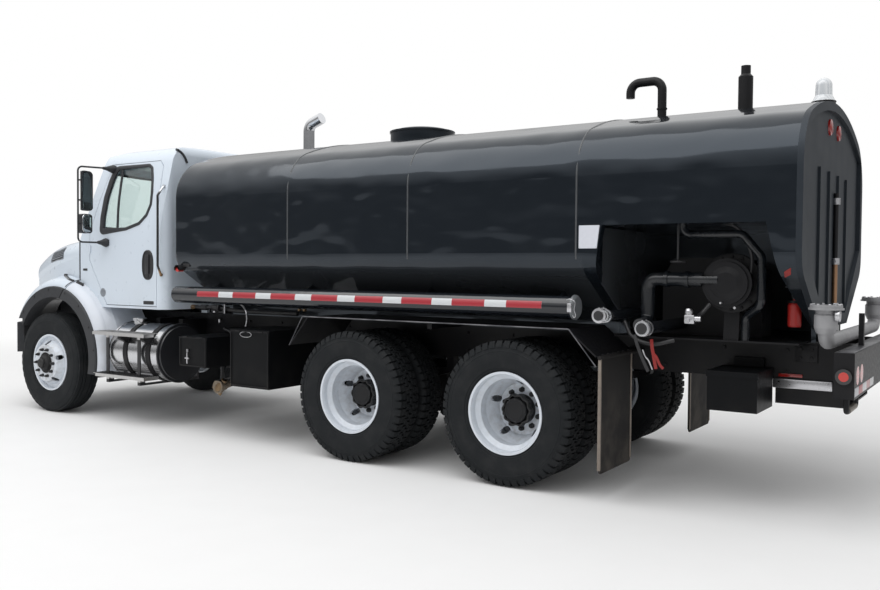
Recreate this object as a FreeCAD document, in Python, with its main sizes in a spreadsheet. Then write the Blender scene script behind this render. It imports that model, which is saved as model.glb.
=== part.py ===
import FreeCAD, Part
import math
import os
import Sketcher
from FreeCAD import Placement, Rotation, Vector

# A three-axle water tank truck: a conventional cab and tilting hood, a smooth-sided water tank,
# and a pump bay under the tail of the body.  Millimetres; X forward, Y to the left, Z up, with the
# origin on the ground under the middle of the truck.  Distances along the truck are measured back
# from the front axle (a negative distance lies ahead of it).

# Driving sizes: (name, millimetres, meaning).
SIZES = [
    ("front_axle_x", 3405, "front axle, ahead of the middle of the truck"),
    ("wheelbase", 4140, "front axle to the first drive axle"),
    ("tandem_spread", 1420, "first to second drive axle"),
    ("front_overhang", 1020, "front axle to the face of the bumper"),
    ("rear_overhang", 2270, "last axle to the rear face of the tail beam"),
    ("tyre_radius", 525, "outside radius of every tyre"),
    ("tyre_half", 140, "half the section width of a tyre"),
    ("tread_half", 115, "half the width of the tread"),
    ("bead_radius", 285, "radius of the bead seats"),
    ("rim_half", 117, "half the width over the rim flanges"),
    ("flange_radius", 298, "outside radius of the rim flanges"),
    ("well_radius", 250, "outside radius of the drop well"),
    ("rim_wall", 9, "thickness of the rim and the disc"),
    ("disc_outset", 165, "rim centre plane to the mounting face of the disc"),
    ("disc_bore", 110, "radius of the hole in the middle of a disc"),
    ("drum_radius", 212, "outside radius of a brake drum"),
    ("front_wheel_y", 1015, "centre plane of a front wheel from the middle"),
    ("dual_outer_y", 1080, "centre plane of an outer rear wheel from the middle"),
    ("kingpin_y", 850, "kingpin from the middle"),
    ("kingpin_radius", 22, "radius of a kingpin"),
    ("spindle_radius", 48, "radius of the spindles"),
    ("axle_tube_radius", 75, "radius of a drive axle's tubes"),
    ("shaft_radius", 48, "radius of the propeller shafts"),
    ("arm_back", 190, "steering arm eye behind the kingpin"),
    ("rail_half", 432, "outer faces of the frame rails from the middle"),
    ("rail_top", 1080, "top of the frame rails"),
    ("rail_depth", 260, "depth of the frame rails"),
    ("rail_flange", 76, "width of a rail flange"),
    ("rail_wall", 10, "thickness of the rails"),
    ("rail_front", 650, "front ends of the rails ahead of the front axle"),
    ("bumper_low", 600, "bottom of the front bumper"),
    ("bumper_high", 925, "top of the front bumper"),
    ("bumper_half", 1110, "half the length of the front bumper"),
    ("bumper_sweep", 380, "ends of the bumper behind its face"),
    ("hood_pivot_ahead", 960, "hood hinge ahead of the front axle"),
    ("hood_pivot_y", 410, "a hood hinge from the middle"),
    ("hinge_pin_radius", 8, "radius of the hood and lid hinge pins"),
    ("cab_floor", 1130, "underside of the cab"),
    ("cab_half", 1000, "side of the cab from the middle"),
    ("cab_back", 1680, "back wall of the cab behind the front axle"),
    ("cab_wall", 45, "thickness of the cab walls and doors"),
    ("firewall_back", 260, "firewall behind the front axle"),
    ("cowl_ahead", 20, "foot of the windscreen ahead of the front axle, in the middle"),
    ("belt_z", 1835, "foot of the windscreen"),
    ("screen_top", 2600, "top of the windscreen"),
    ("screen_lean", 356, "how far the windscreen leans back"),
    ("screen_bend", 1536, "radius of the windscreen seen from above"),
    ("roof_z", 2762, "highest line of the roof"),
    ("roof_half", 870, "half the width of the roof"),
    ("glass_inset", 14, "glass inside the outer face of the cab"),
    ("glass_thick", 6, "thickness of the glass"),
    ("door_front", 510, "front edge of the door at the hinges"),
    ("door_foot", 790, "front edge of the door at its foot"),
    ("door_back", 1560, "rear edge of the door"),
    ("door_top", 2590, "top of the door"),
    ("door_gap", 6, "gap round a door"),
    ("hood_foot", 960, "lower edge of the hood over the bumper"),
    ("hood_wall", 40, "thickness of the hood"),
    ("hood_gap", 8, "gap between the hood and the cab"),
    ("nose_ahead", 975, "face of the hood ahead of the front axle"),
    ("arch_back", 70, "centre of the front wheel arch behind the axle"),
    ("arch_z", 600, "height of the centre of the front wheel arch"),
    ("arch_radius", 620, "inside radius of the front wheel arch"),
    ("flare_radius", 735, "outside radius of the black flare"),
    ("flare_out", 22, "how far the flare stands out of the fender"),
    ("flare_width", 130, "width of the flare across the fender"),
    ("fender_radius", 860, "outside radius of the front fender"),
    ("fender_half", 1125, "outer face of the front fender from the middle"),
    ("tank_half", 1120, "side of the water tank from the middle"),
    ("tank_crown", 2700, "top of the water tank"),
    ("crown_radius", 2500, "radius of the crown of the tank"),
    ("shoulder_radius", 380, "radius between the crown and the sides"),
    ("knee_z", 1560, "height where the side turns in below"),
    ("knee_radius", 190, "radius where the side turns in below"),
    ("head_radius", 45, "radius round the front head of the tank"),
    ("tank_floor", 1170, "flat bottom of the tank"),
    ("floor_half", 500, "half the width of the flat bottom"),
    ("tank_front", 1960, "front head of the tank behind the front axle"),
    ("tank_joint", 6070, "tank to tail section joint behind the front axle"),
    ("tail_back", 7520, "rear edge of the tail section behind the front axle"),
    ("tail_wall", 60, "thickness of the tail section round the pump bay"),
    ("recess_depth", 30, "depth of the recess in the rear face"),
    ("bay_top", 1850, "ceiling of the pump bay"),
    ("tube_radius", 76, "outside radius of the hose tubes"),
    ("tube_wall", 5, "thickness of the hose tubes"),
    ("tube_y", 1125, "hose tube from the middle"),
    ("tube_z", 1293, "height of the hose tubes"),
    ("tube_front", 2020, "front ends of the hose tubes behind the front axle"),
    ("tube_back", 6060, "rear ends of the hose tubes behind the front axle"),
    ("fuel_radius", 280, "radius of the fuel tank"),
    ("fuel_y", 855, "fuel tank from the middle"),
    ("fuel_z", 705, "height of the centre of the fuel tank"),
    ("fuel_front", 1010, "front end of the fuel tank behind the front axle"),
    ("fuel_back", 1765, "rear end of the fuel tank behind the front axle"),
    ("step_half", 1220, "outer edge of the cab steps from the middle"),
    ("step_high", 900, "top of the upper step"),
    ("step_low", 485, "top of the lower step"),
    ("guard_z", 1150, "top of the rear wheel guards"),
    ("guard_half", 1220, "outer edge of the rear wheel guards from the middle"),
    ("guard_thick", 8, "thickness of the rear wheel guards and flaps"),
    ("flap_low", 190, "bottom of the mud flaps"),
    ("beam_low", 820, "bottom of the tail beam"),
    ("beam_high", 1085, "top of the tail beam"),
    ("beam_half", 1200, "half the length of the tail beam"),
    ("beam_depth", 110, "depth of the tail beam, front to back"),
    ("manhole_back", 4010, "manhole behind the front axle"),
    ("manhole_radius", 290, "radius of the manhole collar"),
    ("manhole_rise", 75, "rim of the manhole collar above the crown"),
    ("deck_thick", 12, "thickness of the deck in the pump bay"),
    ("pump_back", 7010, "pump behind the front axle"),
    ("pump_z", 1470, "height of the pump's shaft"),
    ("volute_radius", 160, "radius of the pump casing"),
    ("seat_gap", 0.3, "gap under a curved piece that sits on another"),
    ("bearing_gap", 0.4, "running clearance round spindles and pins"),
]

doc = FreeCAD.newDocument("water_truck")
sheet = doc.addObject("Spreadsheet::Sheet", "Dims")


class Size:
    """A number together with the spreadsheet formula that gives it."""

    def __init__(self, value, formula):
        self.value = float(value)
        self.formula = formula

    def __float__(self):
        return self.value

    def __add__(self, other):
        other = as_size(other)
        return Size(self.value + other.value, f"({self.formula} + {other.formula})")

    def __sub__(self, other):
        other = as_size(other)
        return Size(self.value - other.value, f"({self.formula} - {other.formula})")

    def __mul__(self, other):
        other = as_size(other)
        return Size(self.value * other.value, f"({self.formula} * {other.formula})")

    def __truediv__(self, other):
        other = as_size(other)
        return Size(self.value / other.value, f"({self.formula} / {other.formula})")

    def __neg__(self):
        return Size(-self.value, f"(0 - {self.formula})")

    def __radd__(self, other):
        return as_size(other) + self

    def __rsub__(self, other):
        return as_size(other) - self

    def __rmul__(self, other):
        return as_size(other) * self


def as_size(number):
    if isinstance(number, Size):
        return number
    return Size(number, f"({number})")


def root(size):
    """The square root of a size."""
    size = as_size(size)
    return Size(math.sqrt(size.value), f"sqrt({size.formula})")


class Sizes:
    """The driving sizes by name."""


d = Sizes()
for row, (name, value, meaning) in enumerate(SIZES, start=1):
    sheet.set(f"A{row}", meaning)
    sheet.set(f"B{row}", str(value))
    sheet.setAlias(f"B{row}", name)
    setattr(d, name, Size(value, f"Dims.{name}"))
doc.recompute()

# --- ways of making a piece ----------------------------------------------------------------------

ALONG = {"x": Rotation(Vector(0, 1, 0), 90), "y": Rotation(Vector(1, 0, 0), -90), "z": Rotation()}
# The sketch plane and the sketch axis that give a turned piece its axis.
TURNING = {"x": ("XZ", "H_Axis"), "y": ("YZ", "H_Axis"), "z": ("XZ", "V_Axis")}
SIDES = {"left": 1, "right": -1}
nodes = []


def behind(distance):
    """The X of a point that lies this far behind the front axle."""
    return d.front_axle_x - distance


def tangent_bend(run, rise):
    """The radius of an arc that starts level and falls by rise over a run."""
    return (as_size(run) * run + as_size(rise) * rise) / (as_size(rise) * 2)


def place(thing, x, y, z):
    for axis, size in (("x", x), ("y", y), ("z", z)):
        thing.setExpression(f".Placement.Base.{axis}", as_size(size).formula)
    return thing


def box(name, x, y, z):
    """A block between two places along each axis."""
    block = doc.addObject("Part::Box", name)
    for side, (low, high) in (("Length", x), ("Width", y), ("Height", z)):
        block.setExpression(side, (as_size(high) - low).formula)
    return place(block, x[0], y[0], z[0])


def rod(name, axis, start, length, radius):
    """A round bar that runs from its start along an axis."""
    bar = doc.addObject("Part::Cylinder", name)
    bar.setExpression("Radius", as_size(radius).formula)
    bar.setExpression("Height", as_size(length).formula)
    bar.Placement = Placement(Vector(), ALONG[axis])
    return place(bar, *start)


def fuse(name, parts):
    joined = doc.addObject("Part::MultiFuse", name)
    joined.Shapes = parts
    joined.Refine = True
    return joined


def cut(name, base, tool):
    rest = doc.addObject("Part::Cut", name)
    rest.Base = base
    rest.Tool = tool
    return rest


def common(name, parts):
    """The room that all the parts share."""
    shared = parts[0]
    for number, part in enumerate(parts[1:]):
        both = doc.addObject("Part::Common", f"{name}_{number}")
        both.Base = shared
        both.Tool = part
        shared = both
    return shared


def group(name, parts):
    """Separate solids that share a node."""
    together = doc.addObject("Part::Compound", name)
    together.Links = parts
    return together


def mirrored(name, source):
    """The same piece on the other side of the truck."""
    twin = doc.addObject("Part::Mirroring", name)
    twin.Source = source
    twin.Normal = Vector(0, 1, 0)
    return twin


def with_twins(pieces):
    """The pieces together with their copies on the other side."""
    return pieces + [mirrored(piece.Name + "_twin", piece) for piece in pieces]


def both_sides(name, source):
    return group(name, with_twins([source]))


def form(name, shape):
    """A piece whose shape is worked out below from the driving sizes."""
    piece = doc.addObject("Part::Feature", name)
    piece.Shape = shape
    return piece


def node(label, piece):
    """Name a finished sub-part and keep it for export."""
    piece.Label = label
    nodes.append(piece)
    return piece


def side_of(start, end, bend):
    """One side of an outline: straight, or an arc of radius bend with its centre on the left."""
    if not bend:
        return Part.LineSegment(start, end), False
    chord = end - start
    middle = (start + end) * 0.5
    left = Vector(-chord.y, chord.x, 0).normalize()
    reach = math.sqrt(bend * bend - chord.Length ** 2 / 4)
    centre = middle + left * (reach if bend > 0 else -reach)
    first, last = (start, end) if bend > 0 else (end, start)
    angles = [math.atan2(p.y - centre.y, p.x - centre.x) for p in (first, last)]
    if angles[1] < angles[0]:
        angles[1] += 2 * math.pi
    return Part.ArcOfCircle(Part.Circle(centre, Vector(0, 0, 1), abs(bend)), *angles), bend < 0


def draw(sketch, corners):
    """A closed outline with every corner tied to its size.

    A corner is (u, v), or (u, v, bend) where the side that leaves it is an arc of radius bend."""
    spots = [Vector(float(c[0]), float(c[1]), 0) for c in corners]
    bends = [as_size(c[2]) if len(c) > 2 else None for c in corners]
    sides = []
    for index, corner in enumerate(corners):
        bend = bends[index].value if bends[index] else 0
        curve, backwards = side_of(spots[index], spots[(index + 1) % len(spots)], bend)
        sides.append((sketch.addGeometry(curve), 2 if backwards else 1, 1 if backwards else 2))
    for index, corner in enumerate(corners):
        side, start, end = sides[index]
        after, after_start, after_end = sides[(index + 1) % len(sides)]
        sketch.addConstraint(Sketcher.Constraint("Coincident", side, end, after, after_start))
        for way, size in (("DistanceX", corner[0]), ("DistanceY", corner[1])):
            rule = Sketcher.Constraint(way, -1, 1, side, start, float(size))
            tie = sketch.addConstraint(rule)
            sketch.setExpression(f"Constraints[{tie}]", as_size(size).formula)
        if bends[index]:
            radius = bends[index] if bends[index].value > 0 else -bends[index]
            tie = sketch.addConstraint(Sketcher.Constraint("Radius", side, radius.value))
            sketch.setExpression(f"Constraints[{tie}]", radius.formula)


def sketch_on(body, plane, corners):
    sketch = body.newObject("Sketcher::SketchObject", body.Name + "_outline")
    flat = [o for o in body.Origin.OriginFeatures if o.Role == plane + "_Plane"]
    sketch.AttachmentSupport = [(flat[0], "")]
    sketch.MapMode = "FlatFace"
    draw(sketch, corners)
    return sketch


def slab(name, plane, corners, low, high):
    """An outline on an origin plane, padded across it from low to high."""
    body = doc.addObject("PartDesign::Body", name)
    sketch = sketch_on(body, plane, corners)
    # The XZ plane faces -Y, the other two face along their positive axis.
    offset = -as_size(high) if plane == "XZ" else as_size(low)
    sketch.setExpression(".AttachmentOffset.Base.z", offset.formula)
    pad = body.newObject("PartDesign::Pad", name + "_pad")
    pad.Profile = sketch
    pad.setExpression("Length", (as_size(high) - low).formula)
    return body


def leaning(body, lean, rise):
    """Lean an upright slab back as it rises."""
    pad = body.Tip
    pad.UseCustomVector = True
    pad.AlongSketchNormal = True
    pad.Direction = Vector(-float(lean), 0, float(rise))
    pad.setExpression("Direction.x", (-as_size(lean)).formula)
    pad.setExpression("Direction.z", as_size(rise).formula)
    return body


def turned(name, corners, centre, axis="y"):
    """A piece turned about an axis: corners are (distance along it, radius), or for an upright
    axis (radius, height)."""
    plane, line = TURNING[axis]
    body = doc.addObject("PartDesign::Body", name)
    sketch = sketch_on(body, plane, corners)
    ring = body.newObject("PartDesign::Revolution", name + "_turned")
    ring.Profile = sketch
    ring.ReferenceAxis = (sketch, [line])
    ring.Angle = 360
    return place(body, *centre)


def rounded(body, radius, chosen):
    """Round the edges of a body that the test picks out."""
    doc.recompute()
    edges = [f"Edge{i + 1}" for i, edge in enumerate(body.Shape.Edges) if chosen(edge)]
    tip = body.Tip
    fillet = body.newObject("PartDesign::Fillet", body.Name + "_round")
    fillet.Base = (tip, edges)
    fillet.setExpression("Radius", as_size(radius).formula)
    return body


def section(name, x, corners):
    """An outline across the truck at one station."""
    sketch = doc.addObject("Sketcher::SketchObject", name)
    draw(sketch, corners)
    sketch.Placement = Placement(Vector(), Rotation(Vector(1, 1, 1), 120))
    sketch.setExpression(".Placement.Base.x", as_size(x).formula)
    return sketch


def lofted(name, sections):
    body = doc.addObject("Part::Loft", name)
    body.Sections = sections
    body.Solid = True
    return body


def bent_path(points, bend):
    """Straight runs through the points, joined by tangent arcs of radius bend."""
    spots = [Vector(*[float(c) for c in p]) for p in points]
    edges = []
    last = spots[0]
    for before, here, after in zip(spots, spots[1:], spots[2:]):
        way_in = (here - before).normalize()
        way_out = (after - here).normalize()
        half_turn = way_in.getAngle(way_out) / 2
        reach = bend * math.tan(half_turn)
        start = here - way_in * reach
        end = here + way_out * reach
        bisector = (way_out - way_in).normalize()
        centre = here + bisector * (bend / math.cos(half_turn))
        middle = centre - bisector * bend
        edges.append(Part.LineSegment(last, start).toShape())
        edges.append(Part.Arc(start, middle, end).toShape())
        last = end
    edges.append(Part.LineSegment(last, spots[-1]).toShape())
    return Part.Wire(edges)


def bent_rod(name, points, bend, radius):
    """A round bar or pipe that follows a bent path."""
    path = bent_path(points, bend)
    first = Vector(*[float(c) for c in points[0]])
    second = Vector(*[float(c) for c in points[1]])
    ring = Part.Wire(Part.makeCircle(float(radius), first, second - first))
    return form(name, path.makePipeShell([ring], True, True))


# --- frame ---------------------------------------------------------------------------------------

rail_low = d.rail_top - d.rail_depth
rail_inner = d.rail_half - d.rail_flange
web_inner = d.rail_half - d.rail_wall
mid_axle = d.wheelbase
rear_axle = d.wheelbase + d.tandem_spread
tail_face_back = rear_axle + d.rear_overhang
channel = [
    (d.rail_half, rail_low),
    (d.rail_half, d.rail_top),
    (rail_inner, d.rail_top),
    (rail_inner, d.rail_top - d.rail_wall),
    (web_inner, d.rail_top - d.rail_wall),
    (web_inner, rail_low + d.rail_wall),
    (rail_inner, rail_low + d.rail_wall),
    (rail_inner, rail_low),
]
rail = slab("rail", "YZ", channel, behind(tail_face_back - d.beam_depth), behind(-d.rail_front))
cross_stations = [1790, 2950, mid_axle - 520, mid_axle + d.tandem_spread / 2, rear_axle + 590,
                  tail_face_back - 230]
cross_members = []
for number, station in enumerate(cross_stations):
    member = box(f"cross_member_{number}", (behind(station + 60), behind(station)),
                 (-web_inner, web_inner), (rail_low + 60, d.rail_top - 60))
    cross_members.append(member)
# A tray for a towing hitch hangs under the tail: two cheeks and a floor.
tray_low = 660
tray = (behind(tail_face_back - d.beam_depth - 40), behind(tail_face_back - 600))
cheek = box("hitch_cheek", tray, (web_inner, d.rail_half), (tray_low, rail_low + 60))
tray_floor = box("hitch_floor", tray, (-d.rail_half, d.rail_half), (tray_low, tray_low + d.rail_wall))
node("chassis_frame", fuse("frame", with_twins([rail, cheek]) + cross_members + [tray_floor]))

# --- front bumper --------------------------------------------------------------------------------

face = behind(-d.front_overhang)
bumper_deep = 45
swept_back = face - d.bumper_sweep
bumper_plan = [
    (swept_back, -d.bumper_half, 1000),
    (face - 22, -560, 7200),
    (face - 22, 560, 1000),
    (swept_back, d.bumper_half),
    (swept_back - bumper_deep, d.bumper_half - 55),
    (face - 95, 520),
    (face - 95, -520),
    (swept_back - bumper_deep, 55 - d.bumper_half),
]
bumper_bar = slab("bumper_bar", "XY", bumper_plan, d.bumper_low, d.bumper_high)
air_slot = slab("air_slot", "YZ", [(-430, 670), (430, 670), (400, 770), (-400, 770)], face - 200, face + 20)
fog_pocket = slab("fog_pocket", "YZ", [(640, 690), (820, 700), (820, 790), (640, 780)], face - 190, face)
bumper_skin = cut("bumper_skin", bumper_bar, fuse("bumper_holes", [air_slot] + with_twins([fog_pocket])))
horn = box("horn", (behind(-d.rail_front), face - 95), (rail_inner, d.rail_half),
           (rail_low, d.bumper_high))
pivot_x = behind(-d.hood_pivot_ahead)
pivot_z = d.bumper_high + 20
hinge_post = box("hinge_post", (pivot_x - 15, pivot_x + 15), (d.hood_pivot_y - 40, d.hood_pivot_y - 13),
                 (d.bumper_high - 40, pivot_z + 12))
hinge_pin = rod("hinge_pin", "y", (pivot_x, d.hood_pivot_y - 40, pivot_z), 56, d.hinge_pin_radius)
node("front_bumper", fuse("bumper", [bumper_skin] + with_twins([horn, hinge_post, hinge_pin])))

# --- front axle, knuckles and steering -----------------------------------------------------------

axle_z = d.tyre_radius
# One half of the dropped beam: (distance from the middle, below the wheel centre, above it).
beam_stations = [(480, 170, -60), (620, 130, -20), (730, 75, 65), (d.kingpin_y, 70, 70)]
beam_low = [(y, axle_z - low) for y, low, high in beam_stations]
beam_top = [(y, axle_z + high) for y, low, high in beam_stations]
beam_front = [(-y, z) for y, z in reversed(beam_low)] + beam_low + beam_top[::-1]
beam_front += [(-as_size(y), z) for y, z in beam_top]
beam_front = [(as_size(y), z) for y, z in beam_front]
beam = slab("axle_beam", "YZ", beam_front, behind(45), behind(-45))
boss = rod("kingpin_boss", "z", (behind(0), d.kingpin_y, axle_z - 70), 140, 48)
eye = rod("kingpin_eye", "z", (behind(0), d.kingpin_y, axle_z - 80), 160, d.kingpin_radius + d.bearing_gap)
node("front_axle", cut("front_axle_beam", fuse("beam_blank", [beam] + with_twins([boss])),
                       both_sides("kingpin_eyes", eye)))

yoke_half = 118
arm_eye_x = behind(d.arm_back)
arm_z = axle_z - 130
yoke = box("yoke", (behind(45), behind(-45)), (d.kingpin_y - 40, d.kingpin_y + 85),
           (axle_z - yoke_half, axle_z + yoke_half))
yoke_gap = box("yoke_gap", (behind(80), behind(-80)), (d.kingpin_y - 60, d.kingpin_y + 58),
               (axle_z - 74, axle_z + 74))
spindle = rod("spindle", "y", (behind(0), d.kingpin_y + 70, axle_z),
              d.front_wheel_y + d.disc_outset - d.kingpin_y - 60, d.spindle_radius)
steering_arm = slab("steering_arm", "XY", [
    (behind(30), d.kingpin_y + 30), (behind(30), d.kingpin_y - 30),
    (arm_eye_x - 25, d.kingpin_y - 25, -30), (arm_eye_x - 25, d.kingpin_y + 25)],
    arm_z - 12, arm_z + 13)
kingpin = rod("kingpin", "z", (behind(0), d.kingpin_y, axle_z - yoke_half), 2 * yoke_half, d.kingpin_radius)
knuckle = fuse("knuckle", [cut("yoke_forked", yoke, yoke_gap), spindle, steering_arm, kingpin])
node("knuckle_left", knuckle)
node("knuckle_right", mirrored("knuckle_twin", knuckle))

rod_z = arm_z - 45
stud_top = arm_z - 12 - d.seat_gap
cross_rod = rod("cross_rod", "y", (arm_eye_x, -d.kingpin_y, rod_z), d.kingpin_y * 2, 20)
stud = rod("stud", "z", (arm_eye_x, d.kingpin_y, rod_z - 25), stud_top - rod_z + 25, 24)
node("tie_rod", fuse("tie_rod_bar", [cross_rod] + with_twins([stud])))

# --- leaf springs --------------------------------------------------------------------------------


def leaf_pack(name, centre, half_length, foot_z, pack, y):
    """A bowed pack of leaves on an axle, with the hangers that hold its ends under the rail."""
    rise = 95
    main_leaf = 30
    clamp = 120
    radius = (half_length * half_length + rise * rise) / (2 * rise)
    outline = [
        (centre - half_length, foot_z + rise, radius),
        (centre + half_length, foot_z + rise),
        (centre + half_length, foot_z + rise + main_leaf),
        (centre + clamp, foot_z + pack),
        (centre - clamp, foot_z + pack),
        (centre - half_length, foot_z + rise + main_leaf),
    ]
    leaves = slab(name, "XZ", outline, y[0], y[1])
    parts = [leaves]
    for end, way in (("front", 1), ("back", -1)):
        root_x = centre + way * (half_length - 30)
        parts.append(box(f"{name}_hanger_{end}", (root_x - 35, root_x + 35), y,
                         (foot_z + rise + 8, rail_low)))
    return fuse(name + "_pack", parts)


spring_y = (rail_inner, d.rail_half)
DRIVE_AXLES = [("mid", mid_axle), ("rear", rear_axle)]
packs = [leaf_pack("front_spring", behind(0), 560, axle_z - 60, 75, spring_y)]
for name, station in DRIVE_AXLES:
    packs.append(leaf_pack(f"{name}_spring", behind(station), 500, axle_z + d.axle_tube_radius, 80,
                           spring_y))
node("leaf_springs", group("springs", with_twins(packs)))

# --- engine, radiator and driveline --------------------------------------------------------------

engine_back = 210
engine_half = 300
engine_side = [
    (behind(engine_back), 700), (behind(60), 560), (behind(-330), 560), (behind(-450), 640),
    (behind(-450), 1420), (behind(-380), 1500), (behind(engine_back), 1500),
]
engine_block = slab("engine_block", "XZ", engine_side, -engine_half, engine_half)
engine_foot = box("engine_foot", (behind(-60), behind(-180)), (engine_half, web_inner),
                  (rail_low + 20, rail_low + 100))
node("engine", fuse("engine_on_feet", [engine_block] + with_twins([engine_foot])))

core = box("radiator_core", (behind(-d.rail_front - 25), behind(-d.rail_front - 95)), (-420, 420),
           (d.bumper_high, 1480))
shroud = rod("fan_shroud", "x", (behind(-d.rail_front + 55), 0, 1200), 80, 260)
node("radiator", fuse("radiator_pack", [core, shroud]))

gearbox_back = 1150
gearbox_z = 880
nose = 400
pinion_z = axle_z + d.axle_tube_radius
gearbox = rod("gearbox", "x", (behind(820), 0, gearbox_z), 820 - engine_back, 190)
gearbox_tail = rod("gearbox_tail", "x", (behind(gearbox_back), 0, gearbox_z), gearbox_back - 800, 110)
shaft_top = Vector(float(behind(gearbox_back)) - float(d.seat_gap), 0, gearbox_z)
shaft_foot = Vector(float(behind(mid_axle - nose)) + float(d.seat_gap), 0, float(pinion_z))
shaft_lean = (shaft_top.z - shaft_foot.z) / (shaft_top.x - shaft_foot.x) * float(d.shaft_radius)
shaft_step = Vector(shaft_lean, 0, 0)
propshaft = bent_rod("propshaft", [tuple(shaft_top - shaft_step), tuple(shaft_foot + shaft_step)], 1,
                     d.shaft_radius)
banjo_radius = 210
between_back = rear_axle - nose - d.seat_gap
between = rod("between_shaft", "x", (behind(between_back), 0, axle_z),
              between_back - mid_axle - banjo_radius - d.seat_gap, d.shaft_radius)
node("driveline", group("drive_shafts", [
    fuse("gearbox_case", [gearbox, gearbox_tail]), propshaft, between]))

axles = []
shaft_end = d.dual_outer_y - d.disc_outset + 104
tube_end = 620
for name, station in DRIVE_AXLES:
    x = behind(station)
    banjo = turned(f"{name}_banjo", [
        (-130, 0), (130, 0), (130, 150), (70, banjo_radius), (-70, banjo_radius), (-130, 150)],
        (x, 0, axle_z))
    snout = rod(f"{name}_snout", "x", (x, 0, axle_z), nose, 95)
    nose_flange = rod(f"{name}_nose_flange", "x", (x + nose - 60, 0, axle_z), 60, 135)
    tube = rod(f"{name}_tube", "y", (x, -tube_end, axle_z), 2 * tube_end, d.axle_tube_radius)
    shaft = rod(f"{name}_shaft", "y", (x, -shaft_end, axle_z), 2 * shaft_end, d.spindle_radius)
    axles.append(fuse(f"{name}_axle", [banjo, snout, nose_flange, tube, shaft]))
node("drive_axles", group("axle_pair", axles))

# --- wheels --------------------------------------------------------------------------------------

hub_bore = d.spindle_radius + d.bearing_gap
bead_half = d.rim_half - 14.5
sidewall_radius = 470
tyre_corners = [
    (-bead_half, d.bead_radius + d.seat_gap),
    (bead_half, d.bead_radius + d.seat_gap),
    (bead_half, d.flange_radius + 1),
    (d.rim_half - 4, d.flange_radius + 10, 160),
    (d.tyre_half - 6, sidewall_radius, 110),
    (d.tread_half, d.tyre_radius - 6, 1500),
    (-d.tread_half, d.tyre_radius - 6, 110),
    (6 - d.tyre_half, sidewall_radius, 160),
    (4 - d.rim_half, d.flange_radius + 10),
    (-bead_half, d.flange_radius + 1),
]
rim_inside = d.bead_radius - d.rim_wall
well_inside = d.well_radius - d.rim_wall
disc_face = d.disc_outset
rim_corners = [
    (-d.rim_half, rim_inside + 4), (-d.rim_half + 22, rim_inside - 2),
    (-60, rim_inside - 2), (-35, well_inside), (45, well_inside),
    (75, well_inside - 12), (disc_face - d.rim_wall, 190), (disc_face - d.rim_wall, d.disc_bore),
    (disc_face, d.disc_bore), (disc_face, 196), (88, well_inside - 4),
    (80, rim_inside - 2), (d.rim_half - 22, rim_inside - 2), (d.rim_half, rim_inside + 4),
    (d.rim_half, d.flange_radius), (d.rim_half - 10, d.flange_radius),
    (d.rim_half - 14, d.bead_radius), (65, d.bead_radius - 3), (45, d.well_radius),
    (-35, d.well_radius), (-60, d.bead_radius - 3), (14 - d.rim_half, d.bead_radius),
    (10 - d.rim_half, d.flange_radius), (-d.rim_half, d.flange_radius),
]
hand_hole_circle = 206
hand_hole_radius = 26


def flipped(corners):
    """The same outline facing the other way along the axle."""
    return [(-c[0], c[1]) for c in reversed(corners)]


def hand_holes(name, rim, centre, disc_y):
    """Five round hand holes through the disc, on a ring."""
    holes = []
    for turn in range(5):
        angle = math.radians(90 + 72 * turn)
        hole = rod(f"{name}_hole_{turn}", "y", (
            centre[0] + hand_hole_circle * math.cos(angle), centre[1] + disc_y,
            centre[2] + hand_hole_circle * math.sin(angle)), 120, hand_hole_radius)
        holes.append(hole)
    return cut(name + "_pierced", rim, fuse(name + "_holes", holes))


def wheel_tyre(name, x, y):
    return turned(name, tyre_corners, (x, y, axle_z))


front_centre = (behind(0), d.front_wheel_y, axle_z)
front_rim = hand_holes("front_rim", turned("front_rim_ring", rim_corners, front_centre), front_centre,
                       disc_face - 110)
pilot = d.disc_bore - 0.5
drum_inside = d.drum_radius - 16
front_hub_corners = [
    (-60, hub_bore), (disc_face + 12, hub_bore), (disc_face + 12, 0), (disc_face + 42, 0),
    (disc_face + 42, 62), (disc_face + 22, 82), (disc_face + 0.3, 88), (disc_face + 0.3, pilot),
    (disc_face - d.rim_wall - 12, pilot), (disc_face - d.rim_wall - 12, 168),
    (disc_face - d.rim_wall - 34, 168), (disc_face - d.rim_wall - 34, 100), (30, 100),
    (30, d.drum_radius), (-100, d.drum_radius), (-100, drum_inside), (10, drum_inside), (10, 88), (-60, 88),
]
front_hub = turned("front_hub", front_hub_corners, front_centre)
wheel_front = fuse("front_rim_and_hub", [front_rim, front_hub])
tyre_front = wheel_tyre("front_tyre", behind(0), d.front_wheel_y)
node("rim_front_left", wheel_front)
node("tyre_front_left", tyre_front)
node("rim_front_right", mirrored("front_rim_twin", wheel_front))
node("tyre_front_right", mirrored("front_tyre_twin", tyre_front))

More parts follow.
